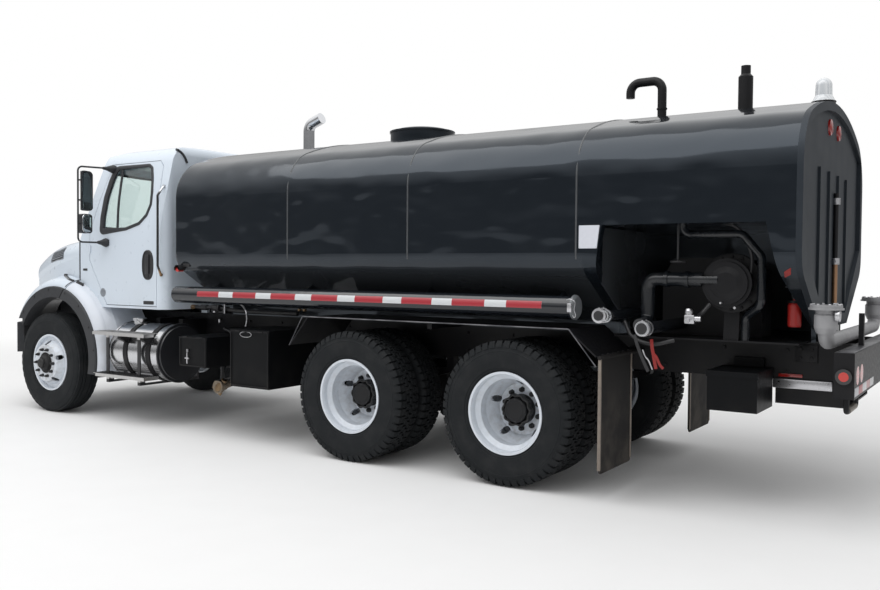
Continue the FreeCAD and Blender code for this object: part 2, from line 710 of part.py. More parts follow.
dual_y = d.dual_outer_y - d.disc_outset
inner_y = dual_y - d.disc_outset
dual_hub_corners = [
    (-240, hub_bore), (105, hub_bore), (105, 0), (128, 0), (128, 62), (118, 88), (60, 96),
    (40, pilot), (-d.rim_wall - 0.3, pilot), (-d.rim_wall - 0.3, 168), (-d.rim_wall - 24, 168),
    (-d.rim_wall - 30, 112), (-90, 112), (-90, d.drum_radius), (-290, d.drum_radius),
    (-290, d.drum_radius - 18), (-110, d.drum_radius - 18), (-110, 100), (-240, 100),
]
for name, station in DRIVE_AXLES:
    x = behind(station)
    outer_centre = (x, d.dual_outer_y, axle_z)
    inner_centre = (x, inner_y, axle_z)
    outer = turned(f"{name}_outer_rim", flipped(rim_corners), outer_centre)
    outer = hand_holes(f"{name}_outer_rim", outer, outer_centre, -disc_face - 10)
    inner = turned(f"{name}_inner_rim", rim_corners, inner_centre)
    inner = hand_holes(f"{name}_inner_rim", inner, inner_centre, disc_face - 110)
    hub = turned(f"{name}_hub", dual_hub_corners, (x, dual_y, axle_z))
    rims = fuse(f"{name}_rims", [outer, inner, hub])
    tyres = group(f"{name}_tyres", [
        wheel_tyre(f"{name}_outer_tyre", x, d.dual_outer_y),
        wheel_tyre(f"{name}_inner_tyre", x, inner_y)])
    node(f"rims_{name}_left", rims)
    node(f"tyres_{name}_left", tyres)
    node(f"rims_{name}_right", mirrored(f"{name}_rims_twin", rims))
    node(f"tyres_{name}_right", mirrored(f"{name}_tyres_twin", tyres))

# --- cab -----------------------------------------------------------------------------------------

far = 2000
screen_wing = 1400
screen_drop = d.screen_bend - root(d.screen_bend * d.screen_bend - screen_wing * screen_wing)
roof_fall = 110
roof_run = 1000
side_foot = d.belt_z - 30
side_top = 190
side_ease = 1.3
corner_top = 32
crown_run = d.roof_half - 120


def cab_form(name, inset):
    """The cab's outer form, or the same form with its faces moved inwards by inset."""
    inset = as_size(inset)
    back = behind(d.cab_back) + inset
    floor = d.cab_floor + inset
    roof = d.roof_z - inset
    half = d.cab_half - inset
    cowl = behind(-d.cowl_ahead) - inset
    firewall = behind(d.firewall_back) - inset
    screen_head = cowl - d.screen_lean - 110
    side = slab(name + "_side", "XZ", [
        (back, floor), (firewall, floor), (firewall, 1500), (cowl - 60, 1700), (cowl, 1740),
        (cowl, d.belt_z), (cowl - d.screen_lean, d.screen_top - inset),
        (screen_head, roof - roof_fall, tangent_bend(roof_run, roof_fall)), (screen_head - roof_run, roof),
        (back + 110, roof - 10, 110), (back, roof - 110)], -far, far)
    # A flatter arc than a tangent one: the side bends in from a faint crease at the belt.
    side_bend = tangent_bend(roof - side_top - side_foot, d.cab_half - d.roof_half - 30) * side_ease
    front = slab(name + "_front", "YZ", [
        (-half, floor), (half, floor), (half, side_foot, side_bend),
        (d.roof_half + 30 - inset, roof - side_top, 204 - inset),
        (crown_run - inset, roof - corner_top, tangent_bend(crown_run, corner_top)),
        (inset - crown_run, roof - corner_top, 204 - inset),
        (inset - d.roof_half - 30, roof - side_top, side_bend), (-half, side_foot)], 0, 2 * far)
    corner = 100
    plan = slab(name + "_plan", "XY", [
        (back + corner, -half), (back + far, -half), (back + far, half), (back + corner, half, corner),
        (back, half - corner), (back, corner - half, corner)], 0, 2 * far)
    sweep = [
        (cowl - screen_drop, -screen_wing, d.screen_bend), (cowl - screen_drop, screen_wing),
        (cowl - screen_drop - far, screen_wing), (cowl - screen_drop - far, -screen_wing)]
    # The windscreen's curve leans back above the belt and drops straight down below it.
    above = d.roof_z - d.belt_z + 200
    lean = d.screen_lean * above / (d.screen_top - d.belt_z)
    screen = leaning(slab(name + "_screen", "XY", sweep, d.belt_z, d.belt_z + above), lean, above)
    cowl_sides = slab(name + "_cowl", "XY", sweep, d.cab_floor - 100, d.belt_z)
    return common(name, [side, plan, fuse(name + "_swept", [screen, cowl_sides]), front])


def door_outline(grow):
    """Side view of the door, its edges moved outwards by grow."""
    sill = d.cab_floor + 30
    return [
        (behind(d.door_foot) + grow * 0.7, sill - grow),
        (behind(d.door_back) - grow, sill - grow),
        (behind(d.door_back) - grow, d.door_top - 60 + grow),
        (behind(d.door_back - 60) - grow * 0.4, d.door_top + grow),
        (behind(770), d.door_top + grow),
        (behind(d.door_front) + grow, d.belt_z + 60 + grow),
        (behind(d.door_front) + grow, 1610),
    ][::-1]


# The door window: (distance behind the front axle, height).
WINDOW = [(703, 1918), (725, 1905), (1090, 1925), (1290, 1975), (1395, 2055), (1448, 2160),
          (1445, 2290), (1425, 2420), (1392, 2525), (1345, 2555), (875, 2555), (820, 2530),
          (775, 2420), (728, 2250), (703, 2050)]
door_sides = (700, 1300)
hinge_x = behind(d.door_front - 10)
hinge_y = d.cab_half + 8
door_reach = d.door_back - d.door_front + 10
cab_outer = cab_form("cab_outer", 0)
cab_skin = cut("cab_skin", cab_outer, cab_form("cab_room", d.cab_wall))
doorway = common("doorway", [
    slab("doorway_side", "XZ", door_outline(d.door_gap), *door_sides),
    rod("doorway_swing", "z", (hinge_x, hinge_y, 0), 3000, door_reach + d.door_gap)])
screen_hole = slab("screen_hole", "YZ", [(-850, 1905), (850, 1905), (770, 2545), (-770, 2545)],
                   behind(700), behind(-800))
rear_hole = slab("rear_hole", "YZ", [(-430, 1930), (430, 1930), (430, 2330), (-430, 2330)],
                 behind(1900), behind(1400))
cab_holes = fuse("cab_holes", with_twins([doorway]) + [screen_hole, rear_hole])
cab_mounts = []
for number, station in enumerate((420, 1560)):
    cab_mounts.append(box(f"cab_mount_{number}", (behind(station + 80), behind(station)),
                          (d.rail_half - 38, d.rail_half), (d.rail_top, d.cab_floor)))
node("cab_shell", fuse("cab", [cut("cab_open", cab_skin, cab_holes)] + with_twins(cab_mounts)))

pane = cut("pane", cab_form("pane_outside", d.glass_inset),
           cab_form("pane_inside", d.glass_inset + d.glass_thick))
windscreen = common("windscreen", [pane, screen_hole])
back_light = common("back_light", [pane, rear_hole])
node("cab_glass", group("cab_windows", [windscreen, back_light]))

window = slab("window", "XZ", [(behind(station), z) for station, z in WINDOW][::-1], *door_sides)
door_blank = common("door_blank", [
    slab("door_side", "XZ", door_outline(0), *door_sides),
    rod("door_swing", "z", (hinge_x, hinge_y, 0), 3000, door_reach), cab_skin])
door_panel = cut("door_panel", door_blank, window)
door_pane = common("door_pane", [pane, window])
node("door_left", door_panel)
node("door_right", mirrored("door_twin", door_panel))
node("door_glass_left", door_pane)
node("door_glass_right", mirrored("door_pane_twin", door_pane))

# --- mirrors and grab handles --------------------------------------------------------------------

mirror_y = 1190
mirror_x = behind(720)
loop_y = 1280
arm_x = behind(790)
glass_turn = math.radians(15)


def mirror_case(name, half_width, depth, low, high, corner):
    """A mirror's case: a rounded plate turned so that its glass faces back and in to the cab."""
    across = (-math.sin(glass_turn), math.cos(glass_turn))
    ahead = (math.cos(glass_turn), math.sin(glass_turn))
    plan = []
    for out, forward in ((-1, -15), (1, -15), (0.7, depth), (-0.7, depth)):
        plan.append((mirror_x + (across[0] * out * half_width + ahead[0] * forward),
                     mirror_y + (across[1] * out * half_width + ahead[1] * forward)))
    case = slab(name + "_plan", "XY", plan[::-1], low, high)
    reach = half_width + 8
    inner, outer = mirror_y - reach, mirror_y + reach
    outline = slab(name + "_outline", "YZ", [
        (inner + corner, low), (outer - corner, low, corner), (outer, low + corner),
        (outer, high - corner, corner), (outer - corner, high), (inner + corner, high, corner),
        (inner, high - corner), (inner, low + corner, corner)], mirror_x - 120, mirror_x + 120)
    return common(name, [case, outline])


def cab_side(z):
    """The half width of the cab at a height: upright to the belt, then bending in on one arc."""
    foot = Vector(float(d.cab_half), float(side_foot), 0)
    head = Vector(float(d.roof_half) + 30, float(d.roof_z) - side_top, 0)
    if z <= foot.y:
        return foot.x
    bend = float(tangent_bend(head.y - foot.y, foot.x - head.x)) * side_ease
    chord = head - foot
    inward = Vector(-chord.y, chord.x, 0).normalize()
    centre = (foot + head) / 2 + inward * math.sqrt(bend * bend - (chord.Length / 2) ** 2)
    return centre.x + math.sqrt(bend * bend - (z - centre.y) ** 2)


foot_z = 2550
foot_y = cab_side(foot_z - 25) + d.seat_gap
mirror_loop = bent_rod("mirror_loop", [
    (arm_x, foot_y + 3, foot_z), (mirror_x, loop_y, 2545), (mirror_x, loop_y, 1790),
    (arm_x, 1003, 1790)], 45, 9)
mirror_feet = [
    box("mirror_foot_low", (arm_x - 40, arm_x + 40), (d.cab_half, 1020), (1760, 1820)),
    box("mirror_foot_high", (arm_x - 28, arm_x + 28), (foot_y, foot_y + 18),
        (foot_z - 25, foot_z + 25))]
ties = []
for number, tie_z in enumerate((1975, 2210, 2410)):
    ties.append(rod(f"mirror_tie_{number}", "y", (mirror_x, mirror_y, tie_z), loop_y - mirror_y, 8))
mirror = fuse("mirror", [mirror_loop, mirror_case("tall_mirror", 85, 18, 2106, 2506, 60),
                         mirror_case("round_mirror", 75, 50, 1880, 2074, 45)] + mirror_feet + ties)
node("mirror_left", mirror)
node("mirror_right", mirrored("mirror_twin", mirror))


# A grab handle: a bar on two round feet, whose ends slope in to the cab.
HANDLE_FEET = [(1622, 2330), (1640, 1470)]
bar_x = behind(1630)
bar_y = 1040
handle_ends = []
handle_feet = []
for number, (station, z) in enumerate(HANDLE_FEET):
    foot_in = cab_side(z - 16) + d.seat_gap
    handle_ends.append((behind(station), foot_in + 10, z))
    handle_feet.append(rod(f"handle_foot_{number}", "y", (behind(station), foot_in, z), 14, 16))
handle = bent_rod("grab_handle", [
    handle_ends[0], (bar_x, bar_y, 2240), (bar_x, bar_y, 1555), handle_ends[1]], 30, 11)
node("grab_handles", both_sides("grab_handle_pair", fuse("handle_on_feet", [handle] + handle_feet)))

# --- hood and front fenders ----------------------------------------------------------------------

arch_x = behind(d.arch_back)
fender_inner = 560
arch_centre = (arch_x, 0, d.arch_z)
fender = turned("fender", [
    (fender_inner, d.arch_radius), (d.fender_half, d.arch_radius), (d.fender_half, d.flare_radius + 5, 110),
    (d.fender_half - 90, d.fender_radius - 35), (d.fender_half - 190, d.fender_radius),
    (fender_inner, d.fender_radius)], arch_centre)
flare_inner = d.fender_half - d.flare_width
flare = turned("flare", [
    (flare_inner, d.arch_radius), (d.fender_half + d.flare_out, d.arch_radius),
    (d.fender_half + d.flare_out, d.flare_radius - 18, 18), (d.fender_half + 4, d.flare_radius),
    (flare_inner, d.flare_radius)], arch_centre)
flare_seat = turned("flare_seat", [
    (flare_inner - d.seat_gap, d.arch_radius - 10), (d.fender_half + 60, d.arch_radius - 10),
    (d.fender_half + 60, d.flare_radius + d.seat_gap),
    (flare_inner - d.seat_gap, d.flare_radius + d.seat_gap)], arch_centre)
# The hollow of the fender leaves a liner over the wheel, stepped round the flare, and a skin.
liner = 30
fender_room = turned("fender_room", [
    (fender_inner - 10, d.arch_radius + liner), (flare_inner - liner, d.arch_radius + liner),
    (flare_inner - liner, d.flare_radius + liner), (d.fender_half - 60, d.flare_radius + liner),
    (d.fender_half - 120, d.fender_radius - 70), (d.fender_half - 210, d.fender_radius - liner),
    (fender_inner - 10, d.fender_radius - liner)], arch_centre)
wheel_well = rod("wheel_well", "y", (arch_x, fender_inner, d.arch_z), 840, d.arch_radius)

# Stations of the hood: distance ahead of the axle, half width at the foot and at the top edge,
# shoulder and top heights, and the radius of the shoulder.
HOOD = [
    ("cowl", -460, 985, 800, 1660, 1862, 144), ("middle", 200, 900, 700, 1560, 1825, 178),
    ("shoulder", 700, 745, 560, 1450, 1735, 185), ("nose", 1000, 650, 470, 1370, 1630, 169),
]
top_edge_fall = 40


def hood_body(name, inset):
    """The hood's outer form, or the same form moved inwards by inset."""
    foot = d.hood_foot - inset
    sections = []
    for station, ahead, low, high, shoulder, top, bend in HOOD:
        low_half = low - as_size(inset)
        high_half = high - as_size(inset)
        edge = top - top_edge_fall - as_size(inset)
        crown = tangent_bend(high_half, top_edge_fall)
        sections.append(section(f"{name}_{station}", behind(-ahead), [
            (-low_half, foot), (low_half, foot), (low_half, shoulder - as_size(inset), bend),
            (high_half, edge, crown), (-high_half, edge, bend), (-low_half, shoulder - as_size(inset))]))
    return lofted(name, sections)


def nose_plan(name, inset):
    """The front of the truck in plan: nearly flat across the grille, swept back over the wheels."""
    tip = behind(-d.nose_ahead) - inset
    left = [(tip, 330), (tip - 35, 600), (tip - 150, 880), (tip - 415, 1140), (tip - 700, 1200),
            (tip - 2600, 1200)]
    right = [(x, -y) for x, y in reversed(left)]
    return slab(name, "XY", right + left, 300, 2200)


seam_x = behind(340)
seam_low_x = behind(160)
# The hood's share of the front end: back to the seam at the cowl, then down to the wheel arch.
hood_zone = slab("hood_zone", "XZ", [
    (seam_x, 2200), (seam_x, 1410), (seam_low_x, 1180), (seam_low_x, 900), (behind(-480), 900),
    (behind(-480), 975), (behind(-1200), d.hood_foot), (behind(-1200), 2200)], -1300, 1300)
# The quarter fender's share, behind the seam.
quarter_zone = slab("quarter_zone", "XZ", [
    (seam_x - 10, 1404), (seam_low_x - 10, 1176), (seam_low_x - 10, 450), (behind(1000), 450),
    (behind(1000), 1404)][::-1], -1300, 1300)
hood_clear = cab_form("hood_clear", -d.hood_gap)
nose_outer = nose_plan("nose_outer", 0)
front_form = cut("front_form", common("front_trimmed", [
    fuse("front_blank", [hood_body("hood_outer", 0)] + with_twins([fender])), nose_outer]),
    fuse("wheel_wells", with_twins([wheel_well])))
hood_room = common("hood_room", [
    fuse("hood_hollow", [hood_body("hood_inner", d.hood_wall)] + with_twins([fender_room])),
    nose_plan("nose_inner", d.hood_wall + 5)])

grille_low = 985
grille_high = 1500
grille_outline = [(-430, grille_low), (430, grille_low), (480, grille_high), (-480, grille_high)]
grille_hole = slab("grille_hole", "YZ", grille_outline, behind(-900), behind(-1200))
lamp_zone = slab("lamp_zone", "YZ", [
    (610, 1040), (850, 1052), (902, 1120), (892, 1225), (720, 1262), (610, 1225)],
    behind(-600), behind(-1100))
headlamp = common("headlamp", [front_form, lamp_zone])
hood_blank = common("hood_blank", [front_form, hood_zone])
hood_tools = fuse("hood_tools", [hood_room, hood_clear, grille_hole] + with_twins([lamp_zone, flare_seat]))
hinge_lug = box("hinge_lug", (pivot_x - 13, pivot_x + 13), (d.hood_pivot_y - 12, d.hood_pivot_y + 12),
                (pivot_z - 10, pivot_z + 40))
hinge_eye = rod("hinge_eye", "y", (pivot_x, d.hood_pivot_y - 20, pivot_z), 40,
                d.hinge_pin_radius + d.bearing_gap)
hood_whole = fuse("hood_whole", [cut("hood_cut_out", hood_blank, hood_tools)] + with_twins([hinge_lug]))
node("hood", cut("hood_form", hood_whole, both_sides("hinge_eyes", hinge_eye)))
node("front_flares", both_sides("front_flare_pair", common("front_flare", [flare, hood_zone, nose_outer])))
node("headlamps", both_sides("headlamp_pair", headlamp))

fender_left = cut("fender_arched", common("fender_back", [fender, quarter_zone]), wheel_well)
cab_seat = cab_form("cab_seat", -d.seat_gap)
quarter = cut("quarter_panel", fender_left, fuse("quarter_tools", [cab_seat, flare_seat, fender_room]))
quarter_flare = cut("quarter_flare", common("flare_back", [flare, quarter_zone]), cab_seat)
node("quarter_fenders", group("quarter_set", with_twins([quarter, quarter_flare])))

# --- grille --------------------------------------------------------------------------------------

grille_blank = slab("grille_blank", "YZ", grille_outline, behind(-905), behind(-945))
slots = []
for number in range(7):
    slot_z = grille_low + 27 + number * 69
    slots.append(box(f"grille_slot_{number}", (behind(-890), behind(-970)), (-400, 400),
                     (slot_z, slot_z + 44)))
node("grille", cut("grille_form", grille_blank, fuse("grille_slots", slots)))

# --- seats, dashboard and steering wheel ---------------------------------------------------------

driver_y = 430
seat_top = 1560
cab_deck = d.cab_floor + d.cab_wall
seat_parts = []
for name, y in (("driver", driver_y), ("passenger", -driver_y)):
    base = box(f"{name}_base", (behind(1400), behind(1060)), (y - 180, y + 180), (cab_deck, seat_top - 140))
    cushion = slab(f"{name}_cushion", "XZ", [
        (behind(1460), seat_top - 140), (behind(990), seat_top - 140), (behind(960), seat_top - 90, 60),
        (behind(1020), seat_top - 5), (behind(1460), seat_top - 30)], y - 250, y + 250)
    back = slab(f"{name}_back", "XZ", [
        (behind(1460), seat_top - 60), (behind(1330), seat_top - 60), (behind(1425), 2080),
        (behind(1440), 2250), (behind(1495), 2290), (behind(1560), 2270), (behind(1575), 2080)],
        y - 240, y + 240)
    seat_parts.append(fuse(f"{name}_seat", [base, cushion, back]))
node("seats", group("seat_pair", seat_parts))

dash_half = 790
dash_face = behind(d.firewall_back + d.cab_wall)
dash = slab("dash", "XZ", [
    (dash_face, 1390), (dash_face, 1490), (behind(330), 1620), (behind(400), 1800), (behind(560), 1770, 90),
    (behind(640), 1690), (behind(640), 1470), (behind(520), 1390)], -dash_half, dash_half)
column_lean = math.radians(47)
column_way = Vector(-math.sin(column_lean), 0, math.cos(column_lean))
column_foot = Vector(float(behind(600)), driver_y, 1560)
column_head = column_foot + column_way * 340
column = bent_rod("column", [tuple(column_foot), tuple(column_head)], 1, 32)
node("dashboard", fuse("dash_and_column", [dash, column]))
ring_bar = 15
ring_radius = 225
ring = Part.makeTorus(ring_radius, ring_bar)
spokes = Part.makeCylinder(45, 2 * ring_bar, Vector(0, 0, -ring_bar))
for turn in (90, 210, 330):
    spoke = Part.makeBox(ring_radius, 30, 12, Vector(0, -15, -6))
    spoke.rotate(Vector(), Vector(0, 0, 1), turn)
    spokes = spokes.fuse(spoke)
steer_piece = form("steering_ring", ring.fuse(spokes))
steer_piece.Placement = Placement(column_head + column_way * (ring_bar + float(d.seat_gap)),
                                  Rotation(Vector(0, 1, 0), -math.degrees(column_lean)))
node("steering_wheel", steer_piece)

# --- fuel tank, straps, steps --------------------------------------------------------------------

strap_thick = 8
strap_width = 60
strap_stations = (1230, 1570)
fuel_length = d.fuel_back - d.fuel_front
rim_roll = 12
fuel = turned("fuel_barrel", [
    (0, 0), (0, d.fuel_radius - rim_roll - 6), (-rim_roll, d.fuel_radius - rim_roll),
    (-rim_roll, d.fuel_radius), (30 - fuel_length, d.fuel_radius),
    (rim_roll - fuel_length, d.fuel_radius - 4), (rim_roll - fuel_length, d.fuel_radius - rim_roll),
    (-fuel_length, d.fuel_radius - rim_roll - 6), (-fuel_length, 0)],
    (behind(d.fuel_front), d.fuel_y, d.fuel_z), "x")
neck = rod("fuel_neck", "z", (behind(1140), d.fuel_y + 30, d.fuel_z + d.fuel_radius - 40), 60, 42)
cap = rod("fuel_cap", "z", (behind(1140), d.fuel_y + 30, d.fuel_z + d.fuel_radius + 20), 26, 54)
node("fuel_tank", fuse("fuel_tank_body", [fuel, neck, cap]))

strap_parts = []
for number, station in enumerate(strap_stations):
    strap_back = behind(station + strap_width)
    ring_out = rod(f"strap_out_{number}", "x", (strap_back, d.fuel_y, d.fuel_z), strap_width,
                   d.fuel_radius + strap_thick)
    ring_in = rod(f"strap_in_{number}", "x", (strap_back - 10, d.fuel_y, d.fuel_z), strap_width + 20,
                  d.fuel_radius + d.seat_gap)
    bracket = box(f"strap_bracket_{number}", (strap_back, behind(station)),
                  (d.rail_half, d.fuel_y - 120), (rail_low, d.fuel_z + d.fuel_radius + 40))
    strap_parts += [cut(f"strap_{number}", ring_out, ring_in), cut(f"bracket_{number}", bracket, ring_in)]
node("tank_straps", fuse("straps", strap_parts))

# The cab steps: (name, top, inner edge, front end behind the front axle).
STEPS = [("upper", d.step_high, 1105, 860), ("lower", d.step_low, 1045, 905)]
step_back = 1650
step_thick = 30
leg_y = 1150
leg_thick = 12
step_parts = []
for name, top, inner, front in STEPS:
    board = box(f"{name}_step", (behind(step_back), behind(front)), (inner, d.step_half),
                (top - step_thick, top))
    step_parts.append(board)
hanger_low = d.fuel_z - d.fuel_radius - strap_thick - 3
for number, station in enumerate((1000, 1480)):
    leg_x = (behind(station + 40), behind(station))
    leg = box(f"step_leg_{number}", leg_x, (leg_y, leg_y + leg_thick), (d.step_low - 10, d.step_high - 10))
    hanger = slab(f"step_hanger_{number}", "YZ", [
        (d.rail_half, rail_low + 40), (d.rail_half, hanger_low - 18), (leg_y + 10, hanger_low - 18),
        (leg_y + 10, d.step_low - step_thick), (1100, d.step_low - step_thick), (1100, hanger_low),
        (d.rail_half + 24, hanger_low), (d.rail_half + 24, rail_low + 40)], *leg_x)
    step_parts += [leg, hanger]
node("cab_steps", both_sides("step_pair", fuse("steps", step_parts)))

# --- boxes under the body ------------------------------------------------------------------------

# Boxes on brackets from the frame rail: (name, front and back behind the front axle, bottom, top,
# inner face beyond the rail, outer face from the middle, side).
BOXES = [
    ("battery_cover", 2020, 2385, 620, 900, 168, 1100, "left"),
    ("oil_box", 2730, 3200, 490, 1000, 128, 1130, "left"),
    ("tool_box", 6900, 7220, 640, 900, 38, 880, "left"),
    ("battery_box", 980, 1700, 500, 960, 128, 1030, "right"),
    ("air_box", 2020, 3200, 560, 960, 168, 900, "right"),
]
lid_lap = 6
lid_deep = 40
hung = []
for name, front, back, low, high, beyond, outer, side in BOXES:
    inner = d.rail_half + beyond
    body = box(name, (behind(back), behind(front)), (inner, outer), (low, high - lid_deep))
    lid = box(name + "_lid", (behind(back + lid_lap), behind(front - lid_lap)),
              (inner - lid_lap, outer + lid_lap), (high - lid_deep, high))
    arm = box(name + "_arm", (behind(back - 60), behind(front + 60)), (d.rail_half, inner),
              (d.rail_top - 200, d.rail_top - 120))
    whole = fuse(name + "_hung", [body, lid, arm])
    hung.append(whole if side == "left" else mirrored(name + "_other", whole))
node("side_boxes", group("boxes", hung))

# --- exhaust stack -------------------------------------------------------------------------------

stack_x = behind(1825)
stack_y = -900
stack_radius = 62
muffler_radius = 100
stack = bent_rod("stack", [(stack_x, stack_y, 1000), (stack_x, stack_y, 3160),
                           (stack_x - 190, stack_y, 3225)], 100, stack_radius)
muffler = turned("muffler", [
    (0, 1110), (stack_radius, 1110), (muffler_radius, 1160), (muffler_radius, 2110), (stack_radius, 2160),
    (0, 2160)], (stack_x, stack_y, 0), "z")
stack_foot = box("stack_foot", (stack_x - 60, stack_x + 60), (stack_y - 60, -d.rail_half), (960, 1010))
node("exhaust_stack", fuse("stack_on_foot", [stack, muffler, stack_foot]))

# --- water tank ----------------------------------------------------------------------------------

shoulder_z = d.tank_crown - d.crown_radius + root(
    d.crown_radius * d.crown_radius - d.tank_half * d.tank_half)
tank_section = [
    (-d.floor_half, d.tank_floor), (d.floor_half, d.tank_floor), (d.tank_half, d.knee_z),
    (d.tank_half, shoulder_z, d.crown_radius), (-d.tank_half, shoulder_z), (-d.tank_half, d.knee_z),
]


def lengthwise_at(z):
    """Picks the straight edges that run along the truck at one height."""
    def test(edge):
        ends = [v.Point for v in edge.Vertexes]
        if len(ends) < 2 or abs(ends[0].y - ends[1].y) > 1:
            return False
        return all(abs(end.z - float(z)) < 2 for end in ends)
    return test


def on_front_head(edge):
    """Picks the edges round the front head of the tank, all but the flat bottom's."""
    ends = [v.Point for v in edge.Vertexes]
    at_front = all(abs(end.x - float(behind(d.tank_front))) < 1 for end in ends)
    return at_front and min(end.z for end in ends) > float(d.tank_floor) - 5


tank_barrel = slab("tank_barrel", "YZ", tank_section, behind(d.tank_joint), behind(d.tank_front))
tail_barrel = slab("tail_barrel", "YZ", tank_section, behind(d.tail_back), behind(d.tank_joint))
for barrel in (tank_barrel, tail_barrel):
    rounded(barrel, d.shoulder_radius, lengthwise_at(shoulder_z))
    rounded(barrel, d.knee_radius, lengthwise_at(d.knee_z))
rounded(tank_barrel, d.head_radius, on_front_head)
sill = box("sill", (behind(d.tank_joint), behind(d.tank_front + 60)), (rail_inner, d.rail_half),
           (d.rail_top, d.tank_floor))
rim_z = d.tank_crown + d.manhole_rise
lid_hinge_y = -d.manhole_radius - 45
lid_hinge_z = rim_z + 8
manhole_x = behind(d.manhole_back)
collar = rod("manhole_collar", "z", (manhole_x, 0, d.tank_crown - 60), d.manhole_rise + 60,
             d.manhole_radius)
ear_high = lid_hinge_z + 14
hinge_ears = []
for number, offset in enumerate((-62, 42)):
    hinge_ears.append(box(f"hinge_ear_{number}", (manhole_x + offset, manhole_x + offset + 20),
                          (lid_hinge_y - 14, 20 - d.manhole_radius), (d.tank_crown - 30, ear_high)))
lid_pin = rod("lid_pin", "x", (manhole_x - 62, lid_hinge_y, lid_hinge_z), 124, d.hinge_pin_radius)
lid_swing_room = rod("lid_swing_room", "z", (manhole_x, 0, rim_z), 60, d.manhole_radius + 14)
ears = cut("lid_ears", fuse("lid_ears_blank", hinge_ears), lid_swing_room)
node("water_tank", fuse("tank", [tank_barrel, collar, ears, lid_pin] + with_twins([sill])))

lid_high = rim_z + d.seat_gap
dome_run = d.manhole_radius - 60
lid_dish = turned("lid_dish", [
    (0, lid_high), (d.manhole_radius + 8, lid_high), (d.manhole_radius + 8, lid_high + 16),
    (d.manhole_radius - 30, lid_high + 16), (dome_run, lid_high + 34, tangent_bend(dome_run, 22)),
    (0, lid_high + 56)], (manhole_x, 0, 0), "z")
lid_arm = box("lid_arm", (manhole_x - 40, manhole_x + 40), (lid_hinge_y, 40 - d.manhole_radius),
              (lid_high, lid_high + 16))
lid_barrel = rod("lid_barrel", "x", (manhole_x - 40, lid_hinge_y, lid_hinge_z), 80, 14)
lid_bore = rod("lid_bore", "x", (manhole_x - 41, lid_hinge_y, lid_hinge_z), 82,
               d.hinge_pin_radius + d.bearing_gap)
node("manhole_lid", cut("lid", fuse("lid_solid", [lid_dish, lid_arm, lid_barrel]), lid_bore))

# --- tail section over the pump bay --------------------------------------------------------------

bay_front = d.tank_joint + 120
bay_back = d.tail_back - 70
bay_low = 1100
bay_side = slab("bay_side", "XZ", [
    (behind(bay_front + 60), d.bay_top), (behind(bay_front), 1500), (behind(bay_front), bay_low),
    (behind(d.tail_back - 30), bay_low), (behind(d.tail_back - 80), 1300),
    (behind(d.tail_back - 210), d.bay_top)], -1300, 1300)
room_half = d.tank_half - d.tail_wall
room_foot = d.floor_half - 110
bay_room = slab("bay_room", "YZ", [
    (-room_foot, bay_low), (room_foot, bay_low), (room_foot, d.tank_floor), (room_half, d.knee_z + 32),
    (room_half, d.bay_top), (-room_half, d.bay_top), (-room_half, d.knee_z + 32),
    (-room_foot, d.tank_floor)], behind(bay_back), behind(bay_front))
recess_half = d.tank_half - 80
recess_side = d.knee_z + 160
recess_bend = d.crown_radius - 60
recess_shoulder = d.tank_crown - d.crown_radius + root(recess_bend * recess_bend - recess_half * recess_half)
recess = slab("tail_recess", "YZ", [
    (-420, 1250), (420, 1250), (recess_half, recess_side), (recess_half, recess_shoulder, recess_bend),
    (-recess_half, recess_shoulder), (-recess_half, recess_side)],
    behind(d.tail_back + 20), behind(d.tail_back - d.recess_depth))
recess_floor = behind(d.tail_back - d.recess_depth)
ribs = []
for number, y in enumerate((-500, -170, 170, 500)):
    ribs.append(box(f"tail_rib_{number}", (recess_floor - 16, recess_floor), (y - 20, y + 20),
                    (1300, 2230)))
tail_open = cut("tail_open", tail_barrel, fuse("tail_hollows", [bay_side, bay_room, recess]))
tail_sill = box("tail_sill", (behind(bay_front), behind(d.tank_joint)), (rail_inner, d.rail_half),
                (d.rail_top, d.tank_floor))
tail_foot = box("tail_foot", (behind(bay_back + 30), behind(bay_back)), (rail_inner, d.rail_half),
                (d.rail_top, 1290))
bay_wall = box("bay_wall", (behind(bay_back + 10), behind(bay_front - 10)), (-620, -600),
               (d.rail_top + d.deck_thick + d.seat_gap, d.bay_top + 10))
node("rear_housing", fuse("tail", [tail_open, bay_wall] + ribs + with_twins([tail_sill, tail_foot])))

# --- hose tubes ----------------------------------------------------------------------------------


def under_side(y):
    """The height of the tank's sloping underside at a distance from the middle."""
    slope = (d.knee_z - d.tank_floor) / (d.tank_half - d.floor_half)
    return d.tank_floor + slope * (as_size(y) - d.floor_half)


tube = rod("tube_skin", "x", (behind(d.tube_back), d.tube_y, d.tube_z), d.tube_back - d.tube_front,
           d.tube_radius)
tube_bore = rod("tube_bore", "x", (behind(d.tube_back - 20), d.tube_y, d.tube_z),
                d.tube_back - d.tube_front, d.tube_radius - d.tube_wall)
end_cap = turned("tube_cap", [
    (0, 0), (0, d.tube_radius + 9), (-14, d.tube_radius + 9), (-26, d.tube_radius - 4), (-26, 0)],
    (behind(d.tube_back), d.tube_y, d.tube_z), "x")
gusset_root = d.tube_y - d.tube_radius + 3
tube_parts = [cut("hose_tube", tube, tube_bore), end_cap]
for number, station in enumerate((2300, 3450, 4700, 5850)):
    tube_parts.append(slab(f"gusset_{number}", "YZ", [
        (620, under_side(620)), (gusset_root, d.tube_z - 10), (gusset_root, d.tube_z + 10),
        (860, under_side(860))], behind(station + 12), behind(station)))
node("hose_tubes", both_sides("tube_pair", fuse("tube_on_gussets", tube_parts)))

# --- rear wheel guards and mud flaps -------------------------------------------------------------

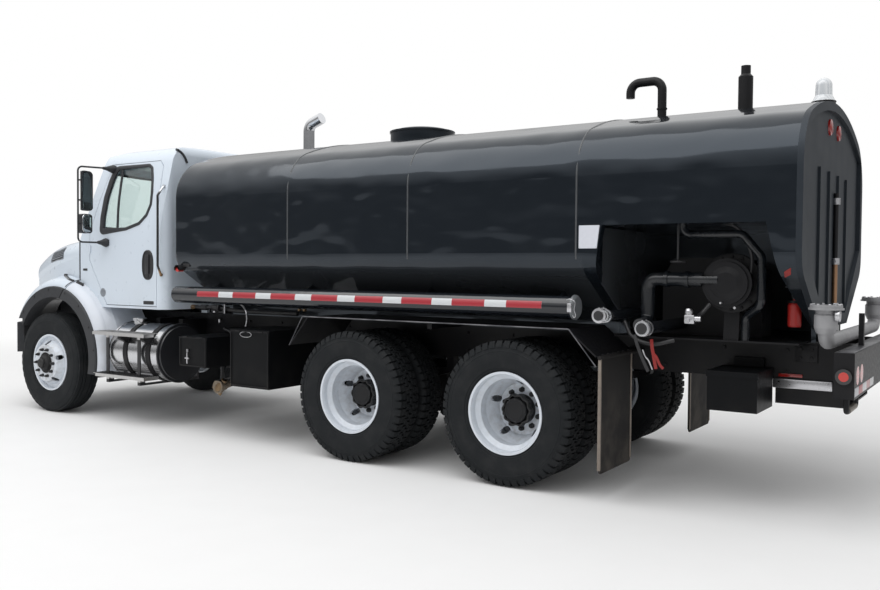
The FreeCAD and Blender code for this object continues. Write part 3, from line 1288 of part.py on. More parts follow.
guard_front = mid_axle - 620
guard_back = rear_axle + 710
guard_low = d.guard_z - d.guard_thick
guard = slab("guard", "XZ", [
    (behind(guard_front), 910), (behind(guard_front + 200), d.guard_z),
    (behind(guard_back - 210), d.guard_z),
    (behind(guard_back), 975), (behind(guard_back - 10), 970), (behind(guard_back - 214), guard_low),
    (behind(guard_front + 206), guard_low), (behind(guard_front + 10), 906)], 600, d.guard_half)
# The guard's arms: (distance behind the front axle, reach, bottom, top).
GUARD_ARMS = [(mid_axle + d.tandem_spread / 2, 1100, guard_low - 52, guard_low),
              (guard_front + 25, 700, 880, 905), (guard_back - 45, 700, 940, 985)]
arms = []
for number, (station, reach, low, high) in enumerate(GUARD_ARMS):
    arms.append(box(f"guard_arm_{number}", (behind(station + 20), behind(station - 20)),
                    (d.rail_half, reach), (low, high)))
node("rear_fenders", both_sides("guard_pair", fuse("guard_on_arms", [guard] + arms)))

flap_x = behind(guard_back + 22)
flap_bar_z = 967
flap = slab("flap", "YZ", [
    (690, d.flap_low), (1190, d.flap_low, 30), (d.guard_half, d.flap_low + 30), (d.guard_half, flap_bar_z),
    (660, flap_bar_z), (660, d.flap_low + 30, 30)], flap_x - d.guard_thick / 2, flap_x + d.guard_thick / 2)
flap_bar = rod("flap_bar", "y", (flap_x, d.rail_half, flap_bar_z), d.guard_half + 5 - d.rail_half, 14)
node("mud_flaps", both_sides("flap_pair", fuse("flap_on_bar", [flap, flap_bar])))

# --- pump set, piping and spray heads ------------------------------------------------------------

deck_half = 760
deck_top = d.rail_top + d.deck_thick
deck = box("deck", (behind(bay_back - 10), behind(bay_front + 10)), (-deck_half, deck_half),
           (d.rail_top, deck_top))
motor = slab("motor", "XZ", [
    (behind(6900), deck_top), (behind(6420), deck_top), (behind(6420), 1500), (behind(6500), 1640),
    (behind(6820), 1640), (behind(6900), 1560)], -560, 380)
pump_x = behind(d.pump_back)
casing_in = 560
casing_out = 890
volute = turned("volute", [
    (casing_in, 0), (casing_out, 0), (casing_out, 70), (casing_out - 14, 108), (casing_out - 14, 138),
    (casing_out - 30, 138), (casing_out - 30, d.volute_radius), (casing_out - 60, d.volute_radius),
    (casing_out - 60, d.volute_radius - 16), (casing_in + 60, d.volute_radius - 16), (casing_in, 110)],
    (pump_x, 0, d.pump_z))
volute_foot = slab("volute_foot", "YZ", [
    (600, deck_top), (740, deck_top), (700, d.pump_z), (640, d.pump_z)], pump_x - 50, pump_x + 50)
pump_shaft = rod("pump_shaft", "y", (pump_x, 340, d.pump_z), 240, 45)
gear_case = box("gear_case", (pump_x - 110, pump_x + 130), (120, 380), (deck_top, 1560))
node("pump_set", fuse("pump_on_deck", [deck, motor, volute, volute_foot, pump_shaft, gear_case]))

pipe_y = 850
pipe_radius = 46
pressure = bent_rod("pressure_pipe", [
    (pump_x + 50, pipe_y, 1490), (behind(6480), pipe_y, 1490), (behind(6480), pipe_y, 1200),
    (behind(6480), 1000, 1180)], 60, pipe_radius)
clamps = []
for number, station in enumerate((6600, 6740)):
    clamps.append(rod(f"pipe_clamp_{number}", "x", (behind(station + 26), pipe_y, 1490), 26,
                      pipe_radius + 9))
casing_room = rod("casing_room", "y", (pump_x, casing_in, d.pump_z), casing_out - casing_in,
                  d.volute_radius + d.seat_gap)
pressure = cut("pressure_seated", fuse("pressure_line", [pressure] + clamps), casing_room)
suction_radius = 27
suction = bent_rod("suction_line", [
    (behind(6700), 800, d.bay_top - d.seat_gap), (behind(6700), 800, 1790), (behind(7090), 800, 1790),
    (behind(7215), 800, 1640), (behind(7215), 800, 1330), (behind(7100), 720, 1250),
    (behind(7100), 720, deck_top + d.seat_gap)], 60, suction_radius)


def hose_coupling(name, stem, station, z, outer, bore):
    """A side connection: a pipe that ends in a collar with an open socket."""
    collar_ring = rod(name + "_collar", "y", (behind(station), 1140, z), 65, outer)
    grip = rod(name + "_grip", "y", (behind(station), 1150, z), 18, outer + 7)
    socket = rod(name + "_socket", "y", (behind(station), 1105, z), 110, bore)
    return cut(name + "_open", fuse(name + "_solid", [stem, collar_ring, grip]), socket)


fill_station = bay_front + 115
fill_z = 1245
fill_stem = bent_rod("fill_stem", [
    (behind(bay_front) - d.seat_gap, 515, fill_z), (behind(fill_station), 515, fill_z),
    (behind(fill_station), 1150, fill_z)], 40, 33)
fill_coupling = hose_coupling("fill", fill_stem, fill_station, fill_z, 38, 28)
hydrant_station = bay_front + 380
hydrant_stem = rod("hydrant_stem", "y", (behind(hydrant_station), 380 + d.seat_gap, 1172), 780, 40)
hydrant_coupling = hose_coupling("hydrant", hydrant_stem, hydrant_station, 1172, 45, 34)
node("pump_piping", group("pipes", [pressure, suction, fill_coupling, hydrant_coupling]))

spray_y = 1010
spray_x = behind(d.tail_back + 120)
spray_pipe = 45
manifold_z = d.rail_top + d.seat_gap + spray_pipe
manifold = bent_rod("spray_manifold", [
    (spray_x, -spray_y, 1330), (spray_x, -spray_y, manifold_z), (spray_x, spray_y, manifold_z),
    (spray_x, spray_y, 1330)], 90, spray_pipe)
spray_head = turned("spray_head", [
    (0, 1180), (52, 1180), (66, 1215), (66, 1290), (58, 1300), (58, 1322), (100, 1322), (100, 1334),
    (92, 1334), (92, 1350), (0, 1350)], (spray_x, spray_y, 0), "z")
side_spray = bent_rod("side_spray", [
    (behind(2200), d.rail_half + d.seat_gap, 835), (behind(2200), 520, 835), (behind(2200), 520, 440),
    (behind(2200), 740, 400)], 45, 32)
side_nozzle = turned("side_nozzle", [
    (700, 0), (760, 0), (800, 58), (800, 66), (770, 66), (735, 40), (700, 38)], (behind(2200), 0, 404))
node("spray_heads", group("sprays", [
    fuse("rear_sprays", [manifold] + with_twins([spray_head])),
    both_sides("side_sprays", fuse("side_spray_head", [side_spray, side_nozzle]))]))

# --- fire extinguisher in the bay ----------------------------------------------------------------

bottle_x = behind(bay_back - 66)
bottle_y = 630
bottle = turned("bottle", [
    (0, 1190), (38, 1190), (42, 1200), (42, 1330), (30, 1352), (14, 1360), (14, 1372), (20, 1372),
    (20, 1400), (0, 1400)], (bottle_x, bottle_y, 0), "z")
bottle_hook = box("bottle_hook", (behind(bay_back) + d.seat_gap, bottle_x), (bottle_y - 14, bottle_y + 14),
                  (1338, 1362))
node("fire_extinguisher", fuse("extinguisher", [bottle, bottle_hook]))

# --- tail beam -----------------------------------------------------------------------------------

tail_face = behind(tail_face_back)
lamp_z = 950
lamp_radius = 55
lamp_deep = 28
beam_bar = box("beam_bar", (tail_face, tail_face + d.beam_depth), (-d.beam_half, d.beam_half),
               (d.beam_low, d.beam_high))
pockets = []
tail_lamps = []
for number, y in enumerate((1080, 930)):
    pockets.append(rod(f"lamp_pocket_{number}", "x", (tail_face - 5, y, lamp_z), lamp_deep + 5,
                       lamp_radius + d.seat_gap))
    tail_lamps.append(rod(f"tail_lamp_{number}", "x", (tail_face, y, lamp_z), lamp_deep - d.seat_gap,
                          lamp_radius))
beam_pocketed = cut("beam_pocketed", beam_bar, fuse("lamp_pockets", with_twins(pockets)))
loop_x = tail_face + d.beam_depth / 2
step_loop = bent_rod("step_loop", [
    (loop_x, 1100, d.beam_low + 5), (loop_x, 1100, 735), (loop_x, 760, 735), (loop_x, 760, d.beam_low + 5)],
    20, 16)
post = box("beam_post", (tail_face + 40, tail_face + 70), (560, 600), (d.beam_high, 1290))
node("rear_beam", fuse("tail_beam", [beam_pocketed, post] + with_twins([step_loop])))

# --- fittings on top of the body, and the level gauge --------------------------------------------

fitting_z = d.tank_crown + d.seat_gap
goose_x = behind(6256)
goose = bent_rod("gooseneck", [
    (goose_x, 0, fitting_z), (goose_x, 0, 3015), (behind(6000), 0, 3015), (behind(6000), 0, 2900)], 75, 34)
pump_stack = turned("pump_stack", [
    (0, fitting_z), (70, fitting_z), (70, fitting_z + 12), (52, fitting_z + 12), (52, fitting_z + 270),
    (34, fitting_z + 290), (34, fitting_z + 350), (0, fitting_z + 350)], (behind(6885), 0, 0), "z")
gauge_radius = 16
gauge_x = recess_floor - gauge_radius - d.seat_gap
gauge = rod("gauge_tube", "z", (gauge_x, -60, 1270), 830, gauge_radius)
node("tank_fittings", group("fittings", [goose, pump_stack, gauge]))

# --- lamps ---------------------------------------------------------------------------------------

beacon = turned("beacon", [
    (0, fitting_z), (80, fitting_z), (80, fitting_z + 30), (56, fitting_z + 80), (54, fitting_z + 150, 54),
    (0, fitting_z + 204)], (behind(7420), 0, 0), "z")
side_lamp = rod("side_lamp", "y", (loop_x, d.beam_half + d.seat_gap, lamp_z), 18, 45)
# The knee rounds the tank's side here, so the marker lamp's foot starts where the rounding does.
marker_lamp = rod("marker_lamp", "y", (behind(2035), 1083.2, 1527), 60, 24)
node("lamps", group("lamp_set", [beacon] + with_twins([side_lamp, marker_lamp] + tail_lamps)))

# --- check and write -----------------------------------------------------------------------------

doc.recompute()
for thing in doc.Objects:
    if "Invalid" in thing.State or "Error" in thing.State:
        raise RuntimeError(f"{thing.Name} failed: {thing.State}")
os.makedirs("parts", exist_ok=True)
for piece in nodes:
    if piece.Shape.isNull() or not piece.Shape.isValid():
        raise RuntimeError(f"{piece.Label} has no sound shape")
for piece in nodes:
    piece.Shape.exportStep(os.path.join("parts", piece.Label + ".step"))
print(len(nodes), "sub-parts written")
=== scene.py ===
import math
from functools import partialmethod

import bpy
import numpy as np
from mathutils import Matrix


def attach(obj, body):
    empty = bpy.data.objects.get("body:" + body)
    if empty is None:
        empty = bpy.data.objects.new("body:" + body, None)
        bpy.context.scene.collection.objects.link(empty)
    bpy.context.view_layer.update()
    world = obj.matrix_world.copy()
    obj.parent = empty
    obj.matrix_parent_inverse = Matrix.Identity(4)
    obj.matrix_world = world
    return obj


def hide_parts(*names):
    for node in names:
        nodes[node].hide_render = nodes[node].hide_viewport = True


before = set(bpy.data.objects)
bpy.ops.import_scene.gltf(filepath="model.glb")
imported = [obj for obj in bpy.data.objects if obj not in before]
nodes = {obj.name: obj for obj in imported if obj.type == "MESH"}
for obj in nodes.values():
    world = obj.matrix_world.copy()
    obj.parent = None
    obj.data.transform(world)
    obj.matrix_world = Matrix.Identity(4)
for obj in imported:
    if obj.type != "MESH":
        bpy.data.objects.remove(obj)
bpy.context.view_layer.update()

# --- camera, light and floor ----------------------------------------------------------------------
# The truck stands on a plain pale floor under a white sky, lit from high on its left by one wide
# soft lamp. The camera is level with the cab's door handle, behind the truck on its left.

scene = bpy.context.scene
scene.view_settings.view_transform = "Standard"
camera = bpy.data.objects.new("camera", bpy.data.cameras.new("camera"))
scene.collection.objects.link(camera)
scene.camera = camera
camera.data.sensor_width = 36
camera.data.lens = 36.19
look = np.array([0.552, -0.834, -0.029])
right = np.array([-0.834, -0.552, 0.008])
above = np.cross(right, look)
camera.matrix_world = Matrix(np.vstack(
    [np.column_stack([right, above, -look, (-5.221, 6.665, 1.545)]), (0, 0, 0, 1)]).tolist())

lamp = bpy.data.lights.new("sky_panel", "AREA")
lamp.shape = "RECTANGLE"
lamp.size = 14
lamp.size_y = 9
lamp.energy = 640
lamp_object = bpy.data.objects.new("sky_panel", lamp)
scene.collection.objects.link(lamp_object)
lamp_object.location = (1.5, 4.8, 9.8)
lamp_object.rotation_euler = (math.radians(-22), 0, 0)

world = bpy.data.worlds.new("sky")
scene.world = world
world.use_nodes = True
sky = world.node_tree
light_path = sky.nodes.new("ShaderNodeLightPath")
# Gloss mirrors a sky that is dim at the horizon and white overhead; the camera sees plain white.
heading = sky.nodes.new("ShaderNodeSeparateXYZ")
sky.links.new(sky.nodes.new("ShaderNodeTexCoord").outputs["Generated"], heading.inputs[0])
mirrored = sky.nodes.new("ShaderNodeMapRange")
sky.links.new(heading.outputs["Z"], mirrored.inputs["Value"])
for name, value in (("From Min", 0.1), ("From Max", 0.55), ("To Min", 0.2), ("To Max", 1.25)):
    mirrored.inputs[name].default_value = value
strength = 0.72
for ray, brightness in (("Is Glossy Ray", mirrored.outputs["Result"]), ("Is Transmission Ray", 1.0),
        ("Is Camera Ray", 1.0)):
    picked = sky.nodes.new("ShaderNodeMapRange")
    sky.links.new(light_path.outputs[ray], picked.inputs["Value"])
    for name, value in (("To Min", strength), ("To Max", brightness)):
        if isinstance(value, float):
            picked.inputs[name].default_value = value
        else:
            sky.links.new(value, picked.inputs[name])
    strength = picked.outputs["Result"]
sky.links.new(strength, sky.nodes["Background"].inputs["Strength"])
sky.nodes["Background"].inputs["Color"].default_value = (1, 1, 1, 1)


class Value:
    """A shader socket that takes part in sums: each operator adds the Math node that it names."""

    def __init__(self, tree, socket):
        self.tree = tree
        self.socket = socket

    def sum(self, operation, *others, first=None):
        """The named Math node on this value and the others, or on first and this value."""
        node = self.tree.nodes.new("ShaderNodeMath")
        node.operation = operation
        for place, term in enumerate([self, *others] if first is None else [first, self]):
            if isinstance(term, Value):
                self.tree.links.new(term.socket, node.inputs[place])
            else:
                node.inputs[place].default_value = term
        return Value(self.tree, node.outputs[0])

    __add__ = partialmethod(sum, "ADD")
    __sub__ = partialmethod(sum, "SUBTRACT")
    __mul__ = partialmethod(sum, "MULTIPLY")
    __truediv__ = partialmethod(sum, "DIVIDE")
    __pow__ = partialmethod(sum, "POWER")
    __gt__ = partialmethod(sum, "GREATER_THAN")
    __lt__ = partialmethod(sum, "LESS_THAN")

    def __rsub__(self, other):
        """The other number less this value."""
        return self.sum("SUBTRACT", first=other)

    def clamped(self):
        """The value held between 0 and 1."""
        return self.sum("MAXIMUM", 0.0).sum("MINIMUM", 1.0)


class Finish:
    """A procedural material, which also keeps a slot name. Keywords set the shader's own sockets, such
    as roughness=0.4."""

    def __init__(self, name, slot=None, colour=(0.5, 0.5, 0.5), **sockets):
        self.slot = slot
        self.material = bpy.data.materials.new(name)
        self.material.use_nodes = True
        self.tree = self.material.node_tree
        self.shader = self.tree.nodes["Principled BSDF"]
        self.shader.inputs["Base Color"].default_value = (*colour, 1)
        for socket, value in sockets.items():
            self.shader.inputs[
                socket.replace("_", " ").title().replace("Ior", "IOR")].default_value = value

    def add(self, kind, output=0, settings=None, **inputs):
        """Any node: its settings first, then values or links on its sockets, named or numbered _6."""
        node = self.tree.nodes.new("ShaderNode" + kind)
        for key, value in (settings or {}).items():
            setattr(node, key, value)
        for key, value in inputs.items():
            socket = node.inputs[int(key[1:])] if key[0] == "_" else node.inputs[key]
            if isinstance(value, Value):
                self.tree.links.new(value.socket, socket)
            else:
                socket.default_value = value
        return Value(self.tree, node.outputs[output])

    def where(self):
        """The place on the truck, in metres."""
        return self.add("TexCoord", "Object")

    def axes(self):
        """X, Y and Z of the place, each a number."""
        place = self.where()
        return [self.add("SeparateXYZ", axis, Vector=place) for axis in ("X", "Y", "Z")]

    def noise(self, scale, detail=3.0, stretch=(1, 1, 1)):
        """Soft noise from 0 to 1, with this many lumps to the metre."""
        place = self.add("Mapping", Vector=self.where(), Scale=stretch)
        return self.add("TexNoise", "Fac", Vector=place, Scale=scale, Detail=detail)

    def off_line(self, x, z):
        """Distance from a line across the truck at x, z: the root of the sum of the two squares."""
        place = self.axes()
        return ((place[0] - x) ** 2 + (place[2] - z) ** 2) ** 0.5

    def step(self, value, low, high):
        """0 below low, 1 above high, and smooth between."""
        return self.add("MapRange", settings={"interpolation_type": "SMOOTHSTEP"}, Value=value,
            **{"From Min": low, "From Max": high})

    def blend(self, share, first, second):
        """One colour turning into another."""
        first = first if isinstance(first, Value) else (*first, 1)
        second = second if isinstance(second, Value) else (*second, 1)
        return self.add("Mix", 2, settings={"data_type": "RGBA"}, _0=share, _6=first, _7=second)

    def feed(self, socket, value):
        """A varying value linked to one of the shader's own sockets."""
        self.tree.links.new(value.socket, self.shader.inputs[socket])
        return self

    def bump(self, height, depth):
        """Relief of this depth in metres."""
        return self.feed("Normal", self.add("Bump", Height=height, Distance=depth, Strength=1.0))

    def colour(self, share, first, second):
        """Base colour: one colour turning into another."""
        return self.feed("Base Color", self.blend(share, first, second))

    def mottled(self, scale, detail, first, second):
        """Base colour: from the first to the second in soft lumps, this many to the metre."""
        return self.colour(self.noise(scale, detail), first, second)

    def uneven(self, least, spread, scale, detail=3.0):
        """Roughness: least and up to spread more, in soft lumps, this many to the metre."""
        return self.feed("Roughness", self.noise(scale, detail) * spread + least)

    def grained(self, scale, depth, detail=3.0):
        """Relief of soft lumps, this many to the metre and this deep in metres."""
        return self.bump(self.noise(scale, detail), depth)

    def on(self, *names):
        """Give CAD nodes this finish."""
        for name in names:
            for slot in nodes[name].material_slots:
                slot.material = self.material


concrete = Finish("pale_floor", roughness=0.9, specular_ior_level=0.1)
concrete.mottled(3.0, 3.0, (0.9, 0.9, 0.9), (0.93, 0.93, 0.93))
floor_x, floor_y = concrete.axes()[:2]
far_off = concrete.step(((floor_x / 1.7) ** 2 + (floor_y + 0.6) ** 2) ** 0.5, 3.0, 9.0)
backdrop = concrete.tree.nodes.new("ShaderNodeEmission")
backdrop.inputs["Color"].default_value = (1, 1, 1, 1)
fade = concrete.tree.nodes.new("ShaderNodeMixShader")
concrete.tree.links.new((far_off * concrete.add("LightPath", "Is Camera Ray")).socket, fade.inputs[0])
concrete.tree.links.new(concrete.shader.outputs[0], fade.inputs[1])
concrete.tree.links.new(backdrop.outputs[0], fade.inputs[2])
concrete.tree.links.new(fade.outputs[0], concrete.tree.nodes["Material Output"].inputs["Surface"])
floor_mesh = bpy.data.meshes.new("floor")
FAR = 400
floor_mesh.from_pydata([(-FAR, -FAR, 0), (FAR, -FAR, 0), (FAR, FAR, 0), (-FAR, FAR, 0)], [],
    [(0, 1, 2, 3)])
floor = bpy.data.objects.new("floor", floor_mesh)
floor_mesh.materials.append(concrete.material)
scene.collection.objects.link(floor)

# --- frame, springs and axles ---------------------------------------------------------------------
# Steel rails, cross members, axles and springs, sprayed with satin black chassis paint after they
# are bolted together, then dulled by road dust from below.


def dusty(finish, colour, dust, amount, top):
    """Road dust that thins out up to the height top, in lumps a hand across."""
    z = finish.axes()[2]
    low = 1 - finish.step(z, 0.2, top)
    lumps = finish.step(finish.noise(5.0, 5.0), 0.35, 0.75)
    return finish.blend((low * lumps * amount).clamped(), colour, dust)


ROAD_DUST = (0.13, 0.12, 0.105)
chassis_paint = Finish("chassis_paint", "chassis_paint", roughness=0.5, specular_ior_level=0.25)
chassis_paint.feed("Base Color", dusty(chassis_paint, (0.007, 0.007, 0.0085), ROAD_DUST, 0.16, 1.3))
chassis_paint.uneven(0.3, 0.25, 40.0)
chassis_paint.grained(220.0, 0.0006, 2.0)
chassis_paint.on("chassis_frame", "front_axle", "leaf_springs", "drive_axles", "driveline",
    "knuckle_left", "knuckle_right", "tie_rod", "tank_straps", "rear_fenders", "rear_beam",
    "pump_set", "tank_fittings")


def circle(radius, steps=10):
    """A round section: sideways is radius times cosine, upwards is radius times sine."""
    angle = np.linspace(0, 2 * math.pi, steps, endpoint=False)
    return radius * np.column_stack([np.cos(angle), np.sin(angle)])


def turn(profile, centre, axis, steps=40):
    """A profile of (distance along the axis, radius) carried round an axis: 0 is X, 1 Y, 2 Z."""
    along, radius = np.asarray(profile, float).T
    ring = circle(1.0, steps)
    grid = np.empty((len(along), steps, 3))
    grid[..., axis] = along[:, None]
    grid[..., (axis + 1) % 3] = radius[:, None] * ring[:, 0]
    grid[..., (axis + 2) % 3] = radius[:, None] * ring[:, 1]
    return grid + np.asarray(centre, float)


def copies(grid, places):
    """The same grid moved to many places."""
    return grid[None] + np.asarray(places, float)[:, None, None, :]


def hexes(places, axis, radius, height):
    """Hexagon heads that stand on a face, their tops chamfered."""
    head = turn([(0, radius), (0.8 * height, radius), (height, 0.82 * radius)], (0, 0, 0), axis, 6)
    return copies(head, places)


def piece(name, finish, tubes, body="chassis", rings=(), slot=None, crease=32):
    """One piece, made of closed tubes of points and of rings, riding on a body.

    A tube is (rows, round, 3), or (copies, rows, round, 3): quads join the rows, and a fan to its
    middle closes each end row. A ring joins its last row to its first instead. A copy that would
    face inwards, by the sign of its volume, is turned round."""
    points, faces, start = [], [], 0
    for grid, closed in [(g, False) for g in tubes] + [(g, True) for g in rings]:
        grid = np.asarray(grid, float)
        grid = grid.reshape(-1, *grid.shape[-3:])
        if closed:
            grid = np.concatenate([grid, grid[:, :1]], axis=1)
        count, rows, across = grid.shape[:3]
        ends = grid[:, [0, -1]].mean(axis=2)
        middle = grid.mean(axis=(1, 2))[:, None, None]
        near = grid - middle
        after = np.roll(near, -1, axis=2)
        volume = (near[:, :-1] * np.cross(after[:, :-1], after[:, 1:])).sum(axis=(1, 2, 3))
        volume += (near[:, :-1] * np.cross(after[:, 1:], near[:, 1:])).sum(axis=(1, 2, 3))
        if not closed:
            caps = ends - middle[:, 0]
            volume += (caps[:, :1] * np.cross(after[:, 0], near[:, 0])).sum(axis=(1, 2))
            volume += (caps[:, 1:] * np.cross(near[:, -1], after[:, -1])).sum(axis=(1, 2))
        grid = np.where(volume[:, None, None, None] < 0, grid[:, :, ::-1], grid)
        if closed:
            grid, rows = grid[:, :-1], rows - 1
        flat = grid.reshape(count, rows * across, 3)
        if not closed:
            flat = np.concatenate([flat, ends], axis=1)
        points.append(flat.reshape(-1, 3))
        per_copy = flat.shape[1]
        first = start + np.arange(count)[:, None, None] * per_copy
        index = first + np.arange(rows * across).reshape(rows, across)
        beside = np.roll(index, -1, axis=2)
        if closed:
            index = np.concatenate([index, index[:, :1]], axis=1)
            beside = np.concatenate([beside, beside[:, :1]], axis=1)
        quads = np.stack([index[:, :-1], beside[:, :-1], beside[:, 1:], index[:, 1:]], axis=-1)
        faces += quads.reshape(-1, 4).tolist()
        if not closed:
            low_middle = np.broadcast_to(first[:, 0] + rows * across, index[:, 0].shape)
            fans = [np.stack([low_middle, beside[:, 0], index[:, 0]], axis=-1),
                np.stack([low_middle + 1, index[:, -1], beside[:, -1]], axis=-1)]
            faces += np.concatenate(fans).reshape(-1, 3).tolist()
        start += count * per_copy
    mesh = bpy.data.meshes.new(name)
    mesh.from_pydata(np.concatenate(points).tolist(), [], faces)
    mesh.polygons.foreach_set("use_smooth", [True] * len(mesh.polygons))
    mesh.set_sharp_from_angle(angle=math.radians(crease))
    mesh.materials.append(finish.material)
    made = bpy.data.objects.new(name, mesh)
    scene.collection.objects.link(made)
    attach(made, body)
    slot = slot or finish.slot
    return made


RAIL_FACE = 0.432
bolt_places = [(x, RAIL_FACE, z) for x in np.arange(-3.9, 2.6, 0.42) for z in (0.875, 1.02)]
rail_bolts = hexes(bolt_places, 1, 0.013, 0.012)
piece("rail_bolts", chassis_paint, [rail_bolts, rail_bolts * (1, -1, 1)])

# --- wheels ---------------------------------------------------------------------------------------
# Steel disc wheels in white gloss paint, two to a hub on the drive axles, under black hubs held by
# ten nuts. The tubeless tyres have a moulded sidewall, ribs in front and lugs on the drive axles.

AXLE_Z = 0.525
FRONT_X, MID_X, REAR_X = 3.405, -0.735, -2.155
AXLES = {"front": FRONT_X, "mid": MID_X, "rear": REAR_X}
DRIVE_AXLES = [("mid", MID_X), ("rear", REAR_X)]
FRONT_PLANE, DRIVE_PLANES = 1.015, (1.08, 0.75)  # centre planes of the tyres, from the truck's middle
NUT_CIRCLE = 0.143
tyre_rubber = Finish("tyre_rubber", "tyre_rubber", roughness=0.78, specular_ior_level=0.25)
grime = tyre_rubber.step(tyre_rubber.noise(9.0, 5.0), 0.4, 0.8)
tyre_rubber.colour(grime * 0.6, (0.0095, 0.0112, 0.013), (0.024, 0.025, 0.026))
tyre_rubber.uneven(0.65, 0.2, 60.0)
tyre_rubber.grained(420.0, 0.0005, 2.0)
# Carcass, from bead to bead across the tread: (distance from the centre plane, radius).
CARCASS = [(-0.1025, 0.2856), (-0.103, 0.3), (-0.116, 0.309), (-0.1215, 0.316), (-0.1225, 0.326),
    (-0.127, 0.329), (-0.128, 0.336), (-0.131, 0.356), (-0.1345, 0.39), (-0.1355, 0.425),
    (-0.1345, 0.44), (-0.1362, 0.4425), (-0.1358, 0.4475), (-0.1335, 0.45), (-0.131, 0.468),
    (-0.127, 0.485), (-0.119, 0.499), (-0.105, 0.505), (-0.05, 0.5075)]
carcass = np.array(CARCASS + [(-a, r) for a, r in CARCASS[::-1]])
CROWN, TREAD_HALF, TREAD_DEPTH = 0.5232, 0.115, 0.018


def tread_face(across, skin=0.0):
    """Radius of the tread at a distance from the centre plane: a crown that falls 4 mm to its edges."""
    return CROWN - 0.004 * (np.abs(across) / TREAD_HALF) ** 2 - skin


def about_axle(across, radius, angle, x=0.0, z=0.0):
    """Places round a wheel's axis: X is radius times the angle's cosine, Z is radius times its sine."""
    across, radius, angle = np.broadcast_arrays(across, radius, angle)
    return np.stack([x + radius * np.cos(angle), across, z + radius * np.sin(angle)], axis=-1)


def tread_blocks(columns, pitches, slant):
    """Lugs on a rolled tread. A column is (from, to, share of the pitch, start of the pitch); a lug
    leans over the tread by slant of a pitch, and its top is smaller than its foot."""
    grids = []
    pitch = 2 * math.pi / pitches
    for start, end, share, shift in columns:
        inset = np.array([0.0, 0.0, 0.0025])[:, None]
        across = np.array([start, end, end, start])[None] + inset * np.array([1, -1, -1, 1])
        around = np.array([0.0, 0.0, share, share])[None] * pitch
        around = around + inset / 0.52 * np.array([1, 1, -1, -1])
        around = around + slant * pitch * np.abs(across) / TREAD_HALF
        level = tread_face(across, np.array([TREAD_DEPTH, 0.0025, 0.0])[:, None])
        angle = around + (np.arange(pitches) + shift)[:, None, None] * pitch
        grids.append(about_axle(across, level, angle))
    return grids


def shoulder_lugs(pitches, share):
    """Lugs that wrap over the shoulder: each is a profile from the tread down the sidewall, carried
    across its own width, and proud of the carcass by 3 to 16 mm."""
    pitch = 2 * math.pi / pitches
    outer = np.array(
        [(0.085, 0.5208), (0.115, 0.5192), (0.124, 0.508), (0.1325, 0.488), (0.135, 0.472)])
    inner = np.array([(0.13, 0.47), (0.125, 0.485), (0.117, 0.499), (0.105, 0.504), (0.085, 0.505)])
    loop = np.vstack([outer, inner])
    around = np.array([0.0, share]) * pitch
    angle = around[None, :, None] + np.arange(pitches)[:, None, None] * pitch
    return [about_axle(loop[:, 0], loop[:, 1], angle),
        about_axle(-loop[:, 0], loop[:, 1], angle + pitch / 2)]


def ribs(edges, steps=180):
    """Ribs round a steer tyre: each edge of a rib zigzags 2 mm at a fixed pitch."""
    angle = np.linspace(0, 2 * math.pi, steps, endpoint=False)
    wave = 0.002 * (1 - 4 * np.abs((np.arange(steps) / 4) % 1 - 0.5))
    made = []
    for start, end in edges:
        corner = np.array([start, start, end, end])[:, None] + wave * (abs(start + end) < 0.19)
        skin = np.array([TREAD_DEPTH, 0.0, 0.0, TREAD_DEPTH])[:, None]
        made.append(about_axle(corner, tread_face(corner, skin), angle))
    return made


drive_tread = shoulder_lugs(52, 0.74) + tread_blocks([(-0.08, -0.043, 0.8, 0.25),
    (-0.038, -0.003, 0.8, 0.75), (0.003, 0.038, 0.8, 0.25), (0.043, 0.08, 0.8, 0.75)], 52, 0.35)
steer_ribs = ribs(
    [(-0.1135, -0.074), (-0.067, -0.036), (-0.029, 0.029), (0.036, 0.067), (0.074, 0.1135)])


def tyre_set(name, body, x, planes, blocks, bands):
    """One or two tyres on a hub: the carcass and what stands on it, moved to each centre plane."""
    tubes, rings = [], []
    for y in planes:
        centre = np.array([x, y, AXLE_Z])
        rings.append(turn(carcass, centre, 1, 96))
        rings += [band + centre for band in bands]
        tubes += [lugs + centre for lugs in blocks]
    made = piece(name + "_moulded", tyre_rubber, tubes, body, rings)
    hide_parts(name)


HUB_HOLE = 0.1095


def wheel_finish(name, x):
    """White paint with brake dust near the middle, and the hub in the hole of the disc black."""
    paint = Finish(name, roughness=0.3, coat_weight=0.3, coat_roughness=0.1)
    radius = paint.off_line(x, AXLE_Z)
    inwards = paint.step(radius, 0.29, 0.12) * 0.5 + 0.15
    dirt = inwards * paint.step(paint.noise(25.0, 5.0), 0.35, 0.8)
    white = paint.blend(dirt, (0.66, 0.705, 0.765), (0.3, 0.28, 0.26))
    hub = radius < HUB_HOLE
    paint.colour(hub, white, (0.007, 0.007, 0.008))
    paint.feed("Roughness", (paint.noise(30.0) * 0.15 + 0.27).sum("MAXIMUM", hub * 0.7))
    paint.feed("Coat Weight", (hub * -0.3) + 0.3)
    return paint


hub_paint = Finish("hub_paint", roughness=0.55)
hub_paint.mottled(50.0, 3.0, (0.006, 0.006, 0.007), (0.018, 0.018, 0.018))
hub_paint.grained(300.0, 0.0004)


def hub_ring(count, radius, x, y, start=0.0):
    """This many places spaced evenly round a hub, the first at the angle start."""
    return about_axle(y, radius, np.arange(count) * 2 * math.pi / count + start, x, AXLE_Z)


